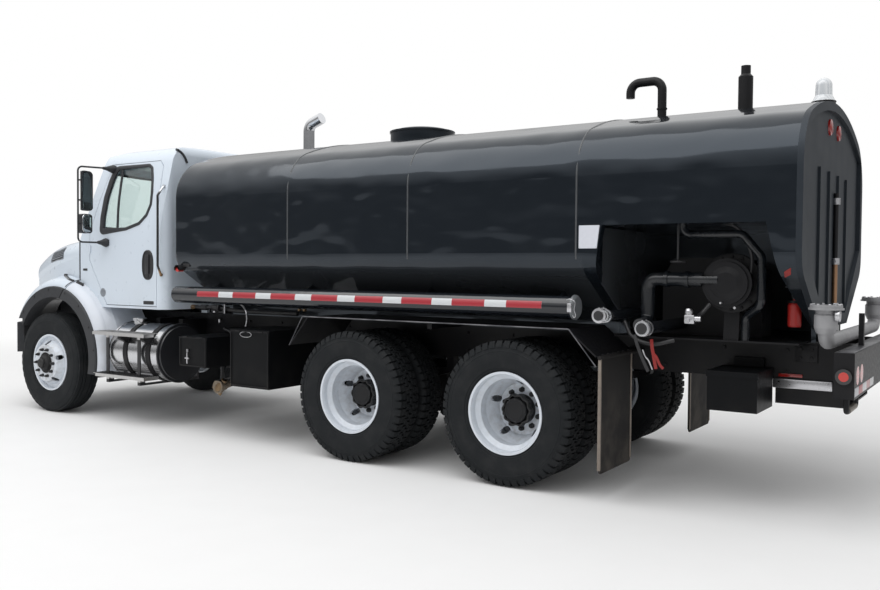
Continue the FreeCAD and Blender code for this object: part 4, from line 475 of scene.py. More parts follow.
def lobed(profile, lobes, depth, x):
    """A turned shape round a wheel's axis, from (across, radius) pairs, whose radius swells and dips
    by a share of itself along a cosine with this many lobes."""
    angle = np.linspace(0, 2 * math.pi, lobes * 12, endpoint=False)
    across, radius = np.array(profile).T
    reach = radius[:, None] * (1 + depth * np.cos(lobes * angle))
    return about_axle(across[:, None], reach, angle, x, AXLE_Z)


for side, sign in (("left", 1), ("right", -1)):
    tyre_set(f"tyre_front_{side}", f"wheel_front_{side}", FRONT_X, [sign * FRONT_PLANE], [],
        steer_ribs)
    for axle, x in DRIVE_AXLES:
        tyre_set(f"tyres_{axle}_{side}", f"wheel_{axle}_{side}", x, [sign * y for y in DRIVE_PLANES],
            drive_tread, [])


def pair(name, finish, tubes, body="chassis", rings=(), slot=None):
    """The same piece on both sides, each on its own body when the body's name ends in _left."""
    for side, flip in (("left", 1), ("right", -1)):
        piece(f"{name}_{side}", finish, [np.asarray(g) * (1, flip, 1) for g in tubes],
            body.replace("_left", "_" + side), [np.asarray(g) * (1, flip, 1) for g in rings], slot)


NUT = [(0, 0.0165), (0.017, 0.0165), (0.019, 0.0135), (0.034, 0.012), (0.046, 0.003)]
WIDE_NUT = [(0, 0.0215), (0.006, 0.0215), (0.007, 0.0185), (0.026, 0.018), (0.03, 0.014),
    (0.038, 0.01)]
OIL_CAP = [(0.04, 0.052), (0.06, 0.05), (0.066, 0.044), (0.07, 0.02)]
COLLAR = [(0.975, 0.1), (0.975, 0.114), (0.98, 0.117), (1.016, 0.117), (1.022, 0.112), (1.022, 0.1)]
FRONT_DISC, DRIVE_DISC = 1.180, 0.924  # faces that the nuts stand on
pair("hub_nuts_front", hub_paint, [
    copies(turn(NUT, (0, 0, 0), 1, 6), hub_ring(10, NUT_CIRCLE, FRONT_X, FRONT_DISC)),
    hexes(hub_ring(8, 0.072, FRONT_X, FRONT_DISC + 0.02), 1, 0.009, 0.01),
    turn(OIL_CAP, (FRONT_X, FRONT_DISC, AXLE_Z), 1)], "wheel_front_left")
for axle, x in DRIVE_AXLES:
    pair(f"hub_nuts_{axle}", hub_paint, [
        copies(turn(WIDE_NUT, (0, 0, 0), 1, 6), hub_ring(10, NUT_CIRCLE, x, DRIVE_DISC, 0.314)),
        hexes(hub_ring(8, 0.079, x, 1.026), 1, 0.01, 0.012)], f"wheel_{axle}_left",
        rings=[lobed(COLLAR, 10, 0.05, x)])
for axle, x in AXLES.items():
    rim = "rim" if axle == "front" else "rims"
    wheel_finish(f"wheel_paint_{axle}", x).on(f"{rim}_{axle}_left", f"{rim}_{axle}_right")

# --- cab ------------------------------------------------------------------------------------------
# The cab and its doors are pressed and glued aluminium sheet in white gloss paint. The side windows
# sit in thick black rubber, and a black post carries the glass run behind the quarter light.

CAB_HALF, BELT_Z, SIDE_BEND = 1.0, 1.805, 3.8888
SIDE_Y, SIDE_Z = -2.887, 1.6882


def cab_side(z):
    """Half width of the cab: upright to the belt, then an arc of SIDE_BEND about (SIDE_Y, SIDE_Z)."""
    z = np.asarray(z, float)
    return np.where(z > BELT_Z, SIDE_Y + np.sqrt(SIDE_BEND ** 2 - (z - SIDE_Z) ** 2), CAB_HALF)


def on_side(stations, proud=0.0):
    """Places on the left side of the cab from (distance behind the front axle, height)."""
    stations = np.asarray(stations, float)
    return np.column_stack(
        [FRONT_X - stations[:, 0], cab_side(stations[:, 1]) + proud, stations[:, 1]])


def rounded_loop(corners, radius, steps=5):
    """A closed outline whose corners are rounded: at each corner a quadratic curve from one side to
    the next, that starts and ends this far from the corner."""
    corner = np.asarray(corners, float)
    before, after = np.roll(corner, 1, axis=0) - corner, np.roll(corner, -1, axis=0) - corner
    reach = np.broadcast_to(radius, (len(corner),))[:, None]
    enter = corner + before / np.linalg.norm(before, axis=1, keepdims=True) * reach
    leave = corner + after / np.linalg.norm(after, axis=1, keepdims=True) * reach
    t = np.linspace(0, 1, steps)[None, :, None]
    arc = enter[:, None] * (1 - t) ** 2 + 2 * corner[:, None] * t * (1 - t) + leave[:, None] * t ** 2
    return arc.reshape(-1, corner.shape[1])


def curve(corners, steps=8):
    """A smooth path through its corners: on each stretch a cubic that leaves and arrives along the
    line between the corners on either side."""
    corner = np.asarray(corners, float)
    padded = np.vstack([2 * corner[0] - corner[1], corner, 2 * corner[-1] - corner[-2]])
    t = np.linspace(0, 1, steps, endpoint=False)[None, :, None]
    a, b, c, e = (padded[k:len(corner) - 1 + k, None] for k in range(4))
    path = b + (c - a) * t / 2 + (2 * a - 5 * b + 4 * c - e) * t ** 2 / 2
    path += (3 * b - a - 3 * c + e) * t ** 3 / 2
    return np.vstack([path.reshape(-1, 3), corner[-1:]])


def sweep(path, section, upright=(0, 0, 1)):
    """A section of (sideways, upwards) offsets carried along a path. Upwards is square to the path,
    as near as can be to upright, which is one direction or one for each place."""
    path, section, upright = (np.asarray(v, float) for v in (path, section, upright))
    ahead = np.gradient(path, axis=0)
    ahead /= np.linalg.norm(ahead, axis=1, keepdims=True)
    up = upright - (ahead * upright).sum(axis=1, keepdims=True) * ahead
    up /= np.linalg.norm(up, axis=1, keepdims=True)
    side = np.cross(ahead, up)
    return path[:, None] + section[:, :1] * side[:, None] + section[:, 1:] * up[:, None]


def band(loop, section, outwards):
    """A section of (across, proud) offsets carried round a closed loop, across from it and outwards."""
    ahead = np.roll(loop, -1, axis=0) - np.roll(loop, 1, axis=0)
    ahead /= np.linalg.norm(ahead, axis=1, keepdims=True)
    outwards = np.broadcast_to(np.asarray(outwards, float), loop.shape)
    across = np.cross(ahead, outwards)
    across /= np.linalg.norm(across, axis=1, keepdims=True)
    section = np.broadcast_to(section, (len(loop), *np.shape(section)[-2:]))
    return loop[:, None] + section[..., :1] * across[:, None] + section[..., 1:] * outwards[:, None]


cab_paint = Finish("cab_paint", "cab_paint", roughness=0.28, coat_weight=0.4, coat_roughness=0.06)
# The hood's wheel arches are lined in black: their surface lies 0.620 m from the arch's centre line.
ARCH_X, ARCH_Z, LINER_RADIUS, FLARE_RADIUS = 3.335, 0.6, 0.6235, 0.7352
HOOD_BACK = 3.08
WHITE, WHITE_DUST, GREY = (0.625, 0.695, 0.775), (0.42, 0.41, 0.39), (0.03, 0.032, 0.036)
arch_liner = (cab_paint.off_line(ARCH_X, ARCH_Z) < LINER_RADIUS) * (cab_paint.axes()[0] > HOOD_BACK)
cab_paint.colour(arch_liner, dusty(cab_paint, WHITE, WHITE_DUST, 0.35, 1.7), (0.02, 0.02, 0.021))
cab_paint.uneven(0.24, 0.1, 14.0)
cab_paint.grained(160.0, 0.00012, 1.0)
cab_paint.on("cab_shell", "door_left", "door_right", "hood")

grey_plastic = Finish("grey_plastic", roughness=0.6, specular_ior_level=0.35)
grey_plastic.feed("Base Color", dusty(grey_plastic, GREY, (0.1, 0.095, 0.09), 0.3, 1.4))
grey_plastic.grained(900.0, 0.0004, 1.0)
grey_plastic.uneven(0.5, 0.2, 25.0)
grey_plastic.on("front_flares", "front_bumper")
# The quarter panel is white and the flare round it grey: the flare ends 0.735 m from the arch.
FLARE_FACE = 0.9948
quarter_paint = Finish("quarter_paint", roughness=0.35)
outside = quarter_paint.axes()[1].sum("ABSOLUTE") > FLARE_FACE
outer_flare = (quarter_paint.off_line(ARCH_X, ARCH_Z) < FLARE_RADIUS) * outside
quarter_paint.colour(outer_flare, dusty(quarter_paint, (0.665, 0.705, 0.77), WHITE_DUST, 0.5, 1.5),
    GREY)
quarter_paint.feed("Roughness", outer_flare * 0.3 + 0.3)
quarter_paint.bump(quarter_paint.noise(700.0, 1.0) * outer_flare, 0.0004)
quarter_paint.on("quarter_fenders")

window_rubber = Finish("window_rubber", "black_plastic", roughness=0.5, specular_ior_level=0.4)
window_rubber.mottled(60.0, 3.0, (0.018, 0.019, 0.022), (0.04, 0.042, 0.046))
window_rubber.grained(500.0, 0.0003)
WINDOW = [(0.703, 1.918), (0.725, 1.905), (1.09, 1.925), (1.29, 1.975), (1.395, 2.055), (1.448, 2.16),
    (1.445, 2.29), (1.425, 2.42), (1.392, 2.525), (1.345, 2.555), (0.875, 2.555), (0.82, 2.53),
    (0.775, 2.42), (0.728, 2.25), (0.703, 2.05)]
SEAL = np.array(
    [(-1, -0.012), (-1, 0.004), (-0.7, 0.008), (0, 0.009), (0.7, 0.008), (1, 0.004), (1, -0.012)])


def window_seal(loop, half_width, outwards):
    """A rubber moulding round a window: domed outside, and as wide as half_width says at each place."""
    wide = np.stack([np.broadcast_to(half_width, (len(loop),)), np.ones(len(loop))], axis=1)
    return band(loop, SEAL[None] * wide[:, None], outwards)


window_loop = rounded_loop(WINDOW, 0.01)
side_loop = on_side(window_loop)
side_out = (side_loop - (0, SIDE_Y, SIDE_Z)) * (0, 1, 1)
side_out /= np.linalg.norm(side_out, axis=1, keepdims=True)
front_share = np.clip((0.9 - window_loop[:, 0]) / 0.08, 0, 1)
POST = [(0.924, 2.545), (0.934, 2.2), (0.947, 1.925)]
post_path = curve(on_side(POST, -0.008))
quarter_post = sweep(post_path, [(-0.013, -0.004), (-0.013, 0.006), (0.013, 0.006), (0.013, -0.004)],
    (0, 1, 0))
pair("window_rubber", window_rubber, [quarter_post], "door_left",
    rings=[window_seal(side_loop, 0.016 + 0.016 * front_share, side_out)])


SCREEN_X, SCREEN_Z, SCREEN_BEND, SCREEN_LEAN = 3.425, 1.835, 1.536, 0.4654
SCREEN_OUT = (0.907, 0, 0.422)


def screen_place(y, z, proud=0.0):
    """Places on the windscreen: bent on 1.536 m, it leans back 0.465 for each metre up."""
    y, z, proud = np.broadcast_arrays(*(np.asarray(v, float) for v in (y, z, proud)))
    x = SCREEN_X - (SCREEN_BEND - np.sqrt(SCREEN_BEND ** 2 - y ** 2)) - SCREEN_LEAN * (z - SCREEN_Z)
    return np.stack([x, y, z], axis=-1) + proud[..., None] * SCREEN_OUT


screen_edge = rounded_loop([(-0.85, 1.905), (0.85, 1.905), (0.77, 2.545), (-0.77, 2.545)], 0.05, 6)
side_runs = [np.column_stack([np.linspace(a, b, 24), np.full(24, z)])
    for a, b, z in ((-0.8, 0.8, 1.905), (0.72, -0.72, 2.545))]
screen_loop = np.vstack(
    [side_runs[0], screen_edge[7:17], side_runs[1], screen_edge[19:], screen_edge[:5]])
piece("windscreen_rubber", window_rubber, [],
    rings=[window_seal(screen_place(*screen_loop.T), 0.018, SCREEN_OUT)])
rear_loop = rounded_loop([(-0.43, 1.93), (-0.43, 2.33), (0.43, 2.33), (0.43, 1.93)], 0.05)
rear_path = np.insert(rear_loop, 0, 1.725, axis=1)
piece("rear_window_rubber", window_rubber, [], rings=[window_seal(rear_path, 0.016, (-1, 0, 0))])

glass = Finish("cab_glass", colour=(0.8, 0.88, 0.87), transmission_weight=1.0, ior=1.45)
glass.feed("Roughness", glass.step(glass.noise(6.0, 4.0), 0.55, 0.9) * 0.05 + 0.01)
glass.on("cab_glass", "door_glass_left", "door_glass_right")

# --- cab trim -------------------------------------------------------------------------------------
# Moulded black door pulls in dished surrounds, blank stick-on badges, pressed hinges, two wipers,
# and a rubber drip strip round each rear corner of the roof.

black_trim = Finish("black_trim", "black_plastic", roughness=0.42)
black_trim.mottled(80.0, 3.0, (0.012, 0.012, 0.014), (0.028, 0.028, 0.03))
black_trim.grained(1200.0, 0.0002, 1.0)
badge_grey = Finish("badge_grey", "cab_paint", roughness=0.35, metallic=0.6)
badge_grey.mottled(120.0, 3.0, (0.22, 0.24, 0.27), (0.33, 0.35, 0.38))


def block(low, high, edge=0.003):
    """A block with rounded edges: each direction of a ball, moved out to the corner it points to."""
    low, high = np.asarray(low, float), np.asarray(high, float)
    quarter = np.array([0.0, 0.5, 1.0]) * math.pi / 2
    turnwise = (np.arange(4)[:, None] * math.pi / 2 + quarter).ravel()
    side_x = np.repeat([1.0, -1.0, -1.0, 1.0], 3)
    side_y = np.repeat([1.0, 1.0, -1.0, -1.0], 3)
    tilt = np.array([-0.49, -0.25, 0.0, 0.0, 0.25, 0.49]) * math.pi
    side_z = np.repeat([-1.0, 1.0], 3)
    level, rise = np.cos(tilt)[:, None], np.sin(tilt)[:, None] + 0 * turnwise
    ball = np.stack([level * np.cos(turnwise), level * np.sin(turnwise), rise], axis=-1)
    corner = np.stack(np.broadcast_arrays(side_x[None], side_y[None], side_z[:, None]), axis=-1)
    return (low + high) / 2 + corner * ((high - low) / 2 - edge) + edge * ball


def plate(loop, outwards, thick, bevel=0.0015):
    """A thin plate inside a closed loop: its rim, a bevel, and its face."""
    outwards = np.asarray(outwards, float)
    middle = loop.mean(axis=0)
    reach = np.linalg.norm(loop - middle, axis=1).mean()
    inset = middle + (loop - middle) * (1 - bevel / reach)
    return np.stack(
        [loop - 0.001 * outwards, loop + (thick - bevel) * outwards, inset + thick * outwards])


def oval(centre, half, power=2.6, steps=36):
    """A closed outline between an ellipse and a rectangle: the higher the power, the squarer."""
    wave = circle(1.0, steps)
    return np.asarray(centre) + np.sign(wave) * np.abs(wave) ** (2 / power) * half


PULL = (1.432, 1.565)
pull_rim = band(on_side(oval(PULL, (0.076, 0.138))),
    [(-0.007, 0), (-0.005, 0.006), (0.003, 0.008), (0.008, 0.004), (0.009, 0)], (0, 1, 0))
pull_x = FRONT_X - PULL[0]
pair("door_pull", black_trim, [plate(on_side(oval(PULL, (0.069, 0.131))), (0, 1, 0), 0.002),
    block((pull_x - 0.025, 1.0, 1.475), (pull_x + 0.03, 1.014, 1.665), 0.006),
    turn([(0.999, 0.014), (1.006, 0.014), (1.008, 0.011)], (pull_x, 0, 1.452), 1, 20)], "door_left",
    rings=[pull_rim])
pair("door_hinges", cab_paint,
    [block((2.875, 0.9995, z), (2.909, 1.012, z + 0.085), 0.004) for z in (1.22, 1.68)], "door_left")
pair("door_badges", badge_grey, [
    plate(on_side(oval((0.728, 1.281), (0.044, 0.044), 2.0)), (0, 1, 0), 0.003),
    turn([(1.003, 0.034), (1.0045, 0.03), (1.005, 0.012)], (2.677, 0, 1.281), 1, 32)], "door_left")
pair("door_plate", black_trim,
    [plate(on_side(oval((1.444, 1.194), (0.078, 0.017), 8)), (0, 1, 0), 0.003)], "door_left",
    slot="cab_paint")
pair("cowl_badge", black_trim,
    [plate(on_side(oval((0.432, 1.513), (0.036, 0.012), 8)), (0, 1, 0), 0.003)])


def drape(name, points, axis, sign, proud=0.0):
    """Points slid along an axis onto the outermost face of a CAD node. A point lies in the triangle
    whose three shares, worked out in the other two axes, are all positive. The sign says which way
    is out."""
    mesh = nodes[name].data
    corners = np.empty(len(mesh.vertices) * 3)
    mesh.vertices.foreach_get("co", corners)
    mesh.calc_loop_triangles()
    index = np.empty(len(mesh.loop_triangles) * 3, int)
    mesh.loop_triangles.foreach_get("vertices", index)
    a, b, c = corners.reshape(-1, 3)[index.reshape(-1, 3)].transpose(1, 0, 2)
    points = np.asarray(points, float)
    flat = points.reshape(-1, 3)
    u, v = [k for k in range(3) if k != axis]
    spread = np.stack([a, b, c])[..., [u, v]]
    low, high = flat[:, [u, v]].min(axis=0), flat[:, [u, v]].max(axis=0)
    near = np.all((spread.min(axis=0) <= high) & (spread.max(axis=0) >= low), axis=1)
    a, b, c = a[near], b[near], c[near]
    det = (b[:, v] - c[:, v]) * (a[:, u] - c[:, u]) + (c[:, u] - b[:, u]) * (a[:, v] - c[:, v])
    det = np.where(np.abs(det) < 1e-12, np.nan, det)
    du, dv = flat[:, None, u] - c[:, u], flat[:, None, v] - c[:, v]
    first = ((b[:, v] - c[:, v]) * du + (c[:, u] - b[:, u]) * dv) / det
    second = ((c[:, v] - a[:, v]) * du + (a[:, u] - c[:, u]) * dv) / det
    third = 1 - first - second
    inside = (first > -1e-4) & (second > -1e-4) & (third > -1e-4)
    reach = first * a[:, axis] + second * b[:, axis] + third * c[:, axis]
    reach = np.where(inside, reach * sign, -np.inf).max(axis=1)
    out = flat.copy()
    out[:, axis] = np.where(np.isfinite(reach), reach * sign, flat[:, axis]) + sign * proud
    return out.reshape(points.shape)


drip_path = drape("cab_shell", curve([(1.725, 0.86, 2.693), (1.725, 0.825, 2.688),
    (1.725, 0.785, 2.662), (1.725, 0.75, 2.62), (1.725, 0.728, 2.575)]), 0, -1, 0.004)
pair("roof_drip", window_rubber, [sweep(drip_path, circle(0.013, 8), (-1, 0, 0))])
FLAT_BAR = np.array([(-1, -0.3), (-0.7, 0.5), (0.7, 0.5), (1, -0.3)])
wipers = []
for y in (-0.42, 0.3):
    wipers += [turn([(0, 0.018), (0.02, 0.016), (0.03, 0.01)], screen_place(y, 1.862, 0.004), 0, 20),
        sweep(curve(screen_place([y, y + 0.1, y + 0.32, y + 0.44], [1.868, 1.93, 1.985, 1.99],
            [0.014, 0.03, 0.024, 0.018])), FLAT_BAR * 0.007, SCREEN_OUT),
        sweep(screen_place(np.linspace(y + 0.06, y + 0.58, 14), 1.975, 0.012),
            FLAT_BAR * (0.005, 0.014), SCREEN_OUT)]
piece("wipers", black_trim, wipers)

# --- mirrors and grab handles ---------------------------------------------------------------------
# Each door mirror is a tall flat glass over a convex one, in moulded cases turned in to the cab, on a
# bent steel loop. A black handle stands behind each door on round cast feet.

chrome = Finish("chrome", "black_plastic", colour=(0.62, 0.63, 0.65), metallic=1.0)
chrome.feed("Roughness", chrome.step(chrome.noise(18.0, 4.0), 0.3, 0.9) * 0.16 + 0.08)
mirror_glass = Finish("mirror_glass", "black_plastic", colour=(0.42, 0.46, 0.48), metallic=1.0)
mirror_glass.uneven(0.01, 0.05, 20.0)
window_rubber.on("mirror_left", "mirror_right")
GLASS_TURN = math.radians(15)
MIRROR_ACROSS = np.array([-math.sin(GLASS_TURN), math.cos(GLASS_TURN), 0])
MIRROR_AHEAD = np.array([math.cos(GLASS_TURN), math.sin(GLASS_TURN), 0])


def on_mirror(loop, ahead):
    """Places on a mirror's turned plane from (across, height), and a distance ahead of its centre."""
    loop = np.asarray(loop, float)
    place = np.array([2.685, 1.19, 0]) + loop[..., :1] * MIRROR_ACROSS
    place = place + np.asarray(ahead)[..., None] * MIRROR_AHEAD
    return place + loop[..., 1:] * np.array([0, 0, 1])


panes, bezels = [], []
for low, high, half, corner, dome in ((2.116, 2.496, 0.074, 0.055, 0.0),
        (1.89, 2.064, 0.064, 0.045, 0.01)):
    edge = rounded_loop([(-half, low), (-half, high), (half, high), (half, low)], corner)
    shrink = np.array([1.0, 1.0, 0.95, 0.7, 0.4, 0.1])[:, None, None]
    swell = np.array([0.0, 0.15, 0.3, 0.7, 0.9, 1.0])[:, None] * dome
    middle = edge.mean(axis=0)
    depth = np.array([-0.014, -0.0165, -0.0168, -0.0168, -0.0168, -0.0168])[:, None]
    panes.append(
        on_mirror(middle + (edge - middle) * shrink, np.broadcast_to(depth - swell, (6, len(edge)))))
    bezels.append(band(on_mirror(edge, np.full(len(edge), -0.015)),
        [(-0.005, 0), (-0.003, 0.004), (0.004, 0.004), (0.007, 0)], -MIRROR_AHEAD))
pair("mirror_panes", mirror_glass, panes, "door_left")
pair("mirror_bezel", chrome, [], "door_left", rings=bezels[1:])
pair("mirror_feet", window_rubber, [
    turn([(1.0, 0.042), (1.012, 0.046), (1.03, 0.04), (1.06, 0.026), (1.105, 0.015)],
        (2.615, 0, 1.79), 1, 28),
    turn([(0.9, 0.04), (0.925, 0.044), (0.955, 0.034), (1.0, 0.02), (1.04, 0.014)],
        (2.615, 0, 2.545), 1, 28)], "door_left")
handle_paint = Finish("handle_paint", roughness=0.3)
hz = handle_paint.axes()[2]
brass_end = 1 - handle_paint.step(hz, 1.5, 1.53)
steel_end = handle_paint.step(hz, 2.26, 2.29)
handle_paint.colour(steel_end, handle_paint.blend(brass_end, (0.02, 0.02, 0.022), (0.3, 0.19, 0.1)),
    (0.55, 0.56, 0.58))
handle_paint.feed("Metallic", (brass_end + steel_end) * 0.9)
handle_paint.grained(300.0, 0.0002)
handle_paint.on("grab_handles")

# --- inside the cab -------------------------------------------------------------------------------
# Two cloth seats on boxed bases face a moulded dash and a grained four-spoke steering wheel. The
# seat covers are sewn in three widths over foam, with a hinged shroud below.

black_plastic = Finish("black_plastic", "black_plastic", roughness=0.55)
black_plastic.mottled(90.0, 3.0, (0.035, 0.036, 0.04), (0.055, 0.056, 0.06))
black_plastic.grained(1500.0, 0.0003, 1.0)
black_plastic.on("dashboard", "steering_wheel", "grille")
seat_cloth = Finish("seat_cloth", "seat_cloth", roughness=0.9, sheen_weight=0.3)
cx, cy, cz = seat_cloth.axes()
THREADS = 1800.0
weave = (cx * THREADS).sum("SINE") * (cz * THREADS + cy * (THREADS / 2)).sum("SINE")
wear = seat_cloth.step(seat_cloth.noise(12.0, 4.0), 0.3, 0.8)
seat_cloth.colour(wear, (0.045, 0.047, 0.055), (0.075, 0.078, 0.088))
seat_cloth.bump(weave, 0.0005)


def pad(low, high, crown, channels, power=5.0, rows=44, across=56):
    """A stuffed pad in a box: a ball raised to a power, crowned at its middle, with sewn channels.

    Its outline is a superellipse, and the top swells by crown where the edge is furthest away. Each
    channel, and the seam round the edge, is a narrow bell-shaped dip."""
    v = np.linspace(-math.pi / 2, math.pi / 2, rows)[:, None]
    u = np.linspace(0, 2 * math.pi, across, endpoint=False)[None]

    def swell(wave):
        """The size of the wave to the power of 2 / power, with the wave's own sign."""
        return np.sign(wave) * np.abs(wave) ** (2 / power)

    level = swell(np.cos(v))
    x, y, z = level * swell(np.cos(u)), level * swell(np.sin(u)), swell(np.sin(v)) * np.ones_like(u)
    dip = sum(np.exp(-((y - place) / 0.045) ** 2) for place in channels)
    dip = dip + np.exp(-((np.abs(x) - 0.9) / 0.05) ** 2) * 0.6
    top = np.clip(z, 0, 1) ** 2
    z = z * (1 - crown) + crown * top * (1 - x ** 2) * (1 - y ** 2) - 0.06 * top * dip * (1 - x ** 8)
    low, high = np.asarray(low, float), np.asarray(high, float)
    return (low + high) / 2 + np.stack([x, y, z], axis=-1) * (high - low) / 2


def leaned(grid, foot, degrees):
    """The grid turned back about a line across the truck through its foot."""
    c, s = math.cos(math.radians(degrees)), math.sin(math.radians(degrees))
    near = grid - foot
    return np.stack(
        [near[..., 0] * c - near[..., 2] * s, near[..., 1], near[..., 0] * s + near[..., 2] * c],
        axis=-1) + foot


for side, y in (("driver", 0.43), ("passenger", -0.43)):
    piece(f"seat_base_{side}", black_plastic, [
        block((2.005, y - 0.18, 1.176), (2.345, y + 0.18, 1.425), 0.012),
        block((1.965, y - 0.225, 1.415), (2.405, y + 0.225, 1.455), 0.012)])
    foot = np.array([2.02, y, 1.535])
    head_foot = foot + (-0.108, 0, 0.585)
    squab = piece(f"seat_cushion_{side}", seat_cloth,
        [pad((1.955, y - 0.245, 1.45), (2.44, y + 0.245, 1.56), 0.2, (-0.45, 0.45))], crease=80)
    upright = leaned(pad((0, -0.235, -0.06), (0.6, 0.235, 0.06), 0.25, (-0.5, 0.5)) + foot, foot, 100)
    head = leaned(pad((0, -0.13, -0.045), (0.19, 0.13, 0.045), 0.25, ()) + head_foot, head_foot, 96)
    rest = piece(f"seat_back_{side}", seat_cloth, [upright, head], crease=80)
    if side == "driver":
        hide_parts("seats")

# --- hood, grille and lamps -----------------------------------------------------------------------
# The hood and fenders are one white moulding that tilts forward on two pins. Rubber straps latch it
# to the cab, a louvred vent sits in each shoulder, and clear lamps are let into the corners.

VENT = [(3.8, 1.69), (3.445, 1.748), (3.435, 1.632), (3.8, 1.59)]
VENT_OUT = (0, 0.96, 0.28)
vent_edge = drape("hood", np.insert(rounded_loop(VENT, 0.02), 1, 0.8, axis=1), 1, 1)
vent_frame = band(vent_edge, [(-0.009, -0.002), (-0.007, 0.004), (0.005, 0.004), (0.009, -0.002)],
    VENT_OUT)
slat_x = np.linspace(3.45, 3.785, 14)
vent_back, slats = [], []
for share in np.linspace(0.04, 0.96, 12):
    top = np.interp(slat_x, [3.445, 3.8], [1.748, 1.69])
    low = np.interp(slat_x, [3.435, 3.8], [1.632, 1.59])
    line = np.column_stack([slat_x, np.full(14, 0.8), top + (low - top) * share])
    vent_back.append(drape("hood", line, 1, 1, 0.0015))
for place in vent_back[1:-1:2]:
    slats.append(sweep(place + (0, 0.004, 0), FLAT_BAR * (0.006, 0.008), VENT_OUT))
# Painted shade: a black sheet behind the slats stands in for the shaded openings between the louvres,
# since the hood beneath is solid.
gap_shade = np.stack(vent_back)
gap_shade = np.concatenate([gap_shade, (gap_shade - (0, 0.004, 0))[::-1]]).transpose(1, 0, 2)
pair("vent_gap_shade", black_trim, [gap_shade], "hood")
pair("hood_vent", badge_grey, slats, "hood", rings=[vent_frame], slot="grey_plastic")
strap = drape("hood",
    curve([(3.345, 1.0, 1.447), (3.26, 1.0, 1.43), (3.19, 1.0, 1.412), (3.105, 1.0, 1.392)]), 1, 1,
    0.01)
pair("hood_latch", black_trim, [sweep(strap, FLAT_BAR * (0.014, 0.018), (0, 1, 0.4)),
    block(strap[0] - (0.026, 0.01, 0.014), strap[0] + (0.02, 0.01, 0.018), 0.006)], "hood")
anchor = drape("quarter_fenders",
    curve([(3.062, 1.0, 1.38), (3.02, 1.0, 1.366), (2.985, 1.0, 1.354)]), 1, 1, 0.008)
pair("latch_anchor", black_trim, [sweep(anchor, FLAT_BAR * (0.02, 0.02), (0, 1, 0.4)),
    block(anchor[-1] - (0.018, 0.008, 0.02), anchor[-1] + (0.018, 0.014, 0.014), 0.006)])
pair("latch_wire", chrome, [sweep(strap[4:20] + (0, 0.012, 0.004), circle(0.0035, 8), (0, 1, 0.4))],
    "hood")
seal_line = drape("hood", curve([(3.072, 1.0, 1.8), (3.072, 1.0, 1.66), (3.072, 1.0, 1.54),
    (3.073, 1.0, 1.43), (3.105, 1.0, 1.385), (3.17, 1.0, 1.3), (3.245, 1.0, 1.205)]), 1, 1, -0.002)
pair("hood_seal", window_rubber, [sweep(seal_line - (0.004, 0, 0), circle(0.0065, 8), (0, 1, 0.3))])
BOLT_RING = 0.7
for body, node, turns in (("hood", "front_flares", (40, 62, 84)),
        ("chassis", "quarter_fenders", (108, 130, 152, 172))):
    turns = np.radians(turns)
    spots = np.column_stack([ARCH_X + BOLT_RING * np.cos(turns), np.full(len(turns), 1.0),
        ARCH_Z + BOLT_RING * np.sin(turns)])
    pair(f"flare_bolts_{body}", black_trim,
        [hexes(drape(node, spots, 1, 1, -0.001), 1, 0.012, 0.007)], body)
# Splash aprons beside the engine close the wheel arches off from the radiator.
apron = rounded_loop(
    [(3.34, 0.94), (3.34, 1.22), (3.62, 1.36), (4.12, 1.3), (4.25, 1.2), (4.25, 0.99), (4.16, 0.94)],
    0.03)
pair("splash_apron", black_plastic, [plate(np.insert(apron, 1, 0.5, axis=1), (0, 1, 0), 0.006)])

lamp_lens = Finish("lamp_lens", roughness=0.12, coat_weight=0.6, coat_roughness=0.03)
lx, ly, lz = lamp_lens.axes()
flutes = (ly * 420.0).sum("SINE") * 0.5 + 0.5
red_lens = lamp_lens.blend(flutes, (0.42, 0.02, 0.015), (0.55, 0.035, 0.025))
clear_lens = lamp_lens.blend(flutes, (0.62, 0.65, 0.68), (0.78, 0.8, 0.82))
# The round side lamps are red in the middle of a wide black grommet. Lamps low down and behind the
# cab are red, the beacon's foot is black, and so are the backs of the headlamps.
SIDE_LAMP_X, SIDE_LAMP_Z, SIDE_LAMP_Y, RED_RADIUS = -4.37, 0.95, 1.19, 0.027
CAB_BACK, TANK_TOP, BEACON_FOOT, HEADLAMP_BACK = 2.0, 2.0, 2.735, 4.008
grommet = lamp_lens.off_line(SIDE_LAMP_X, SIDE_LAMP_Z) > RED_RADIUS
grommet = grommet * (ly.sum("ABSOLUTE") > SIDE_LAMP_Y)
lens = lamp_lens.blend((lx < CAB_BACK) * (lz < TANK_TOP), clear_lens, red_lens)
lamp_backs = (lx > CAB_BACK) * (lx < HEADLAMP_BACK)
black_parts = (grommet + (lz < BEACON_FOOT) * (lz > TANK_TOP) + lamp_backs).clamped()
lamp_lens.colour(black_parts, lens, (0.015, 0.015, 0.016))
lamp_lens.bump(flutes, 0.001)
lamp_lens.on("lamps", "headlamps")

# --- fuel tank, steps and boxes -------------------------------------------------------------------
# A polished aluminium fuel tank hangs in two black straps under the driver's door, with two
# extruded aluminium steps beside it and painted steel boxes behind. Latches are bright steel.

polished = Finish("polished_aluminium", "polished_aluminium", colour=(0.6, 0.61, 0.63), metallic=1.0)
# Painted shade: the rear head of the fuel tank is coloured near black and not metallic. It stands for
# the shade on the head and the dark surroundings it mirrors.
SHADED_END = 1.668
shaded_end = polished.axes()[0] < SHADED_END
polished.feed("Roughness", polished.noise(6.0, 4.0, (1, 40, 40)) * 0.16 + 0.12)
polished.colour(shaded_end,
    polished.blend(polished.noise(3.0), (0.54, 0.55, 0.57), (0.66, 0.66, 0.67)), (0.02, 0.021, 0.024))
polished.feed("Metallic", 1 - shaded_end)
polished.on("fuel_tank")


def tube(corners, radius, steps, upright=(0, 0, 1)):
    """A round bar or hose along a smooth path through its corners."""
    return sweep(curve(corners), circle(radius, steps), upright)


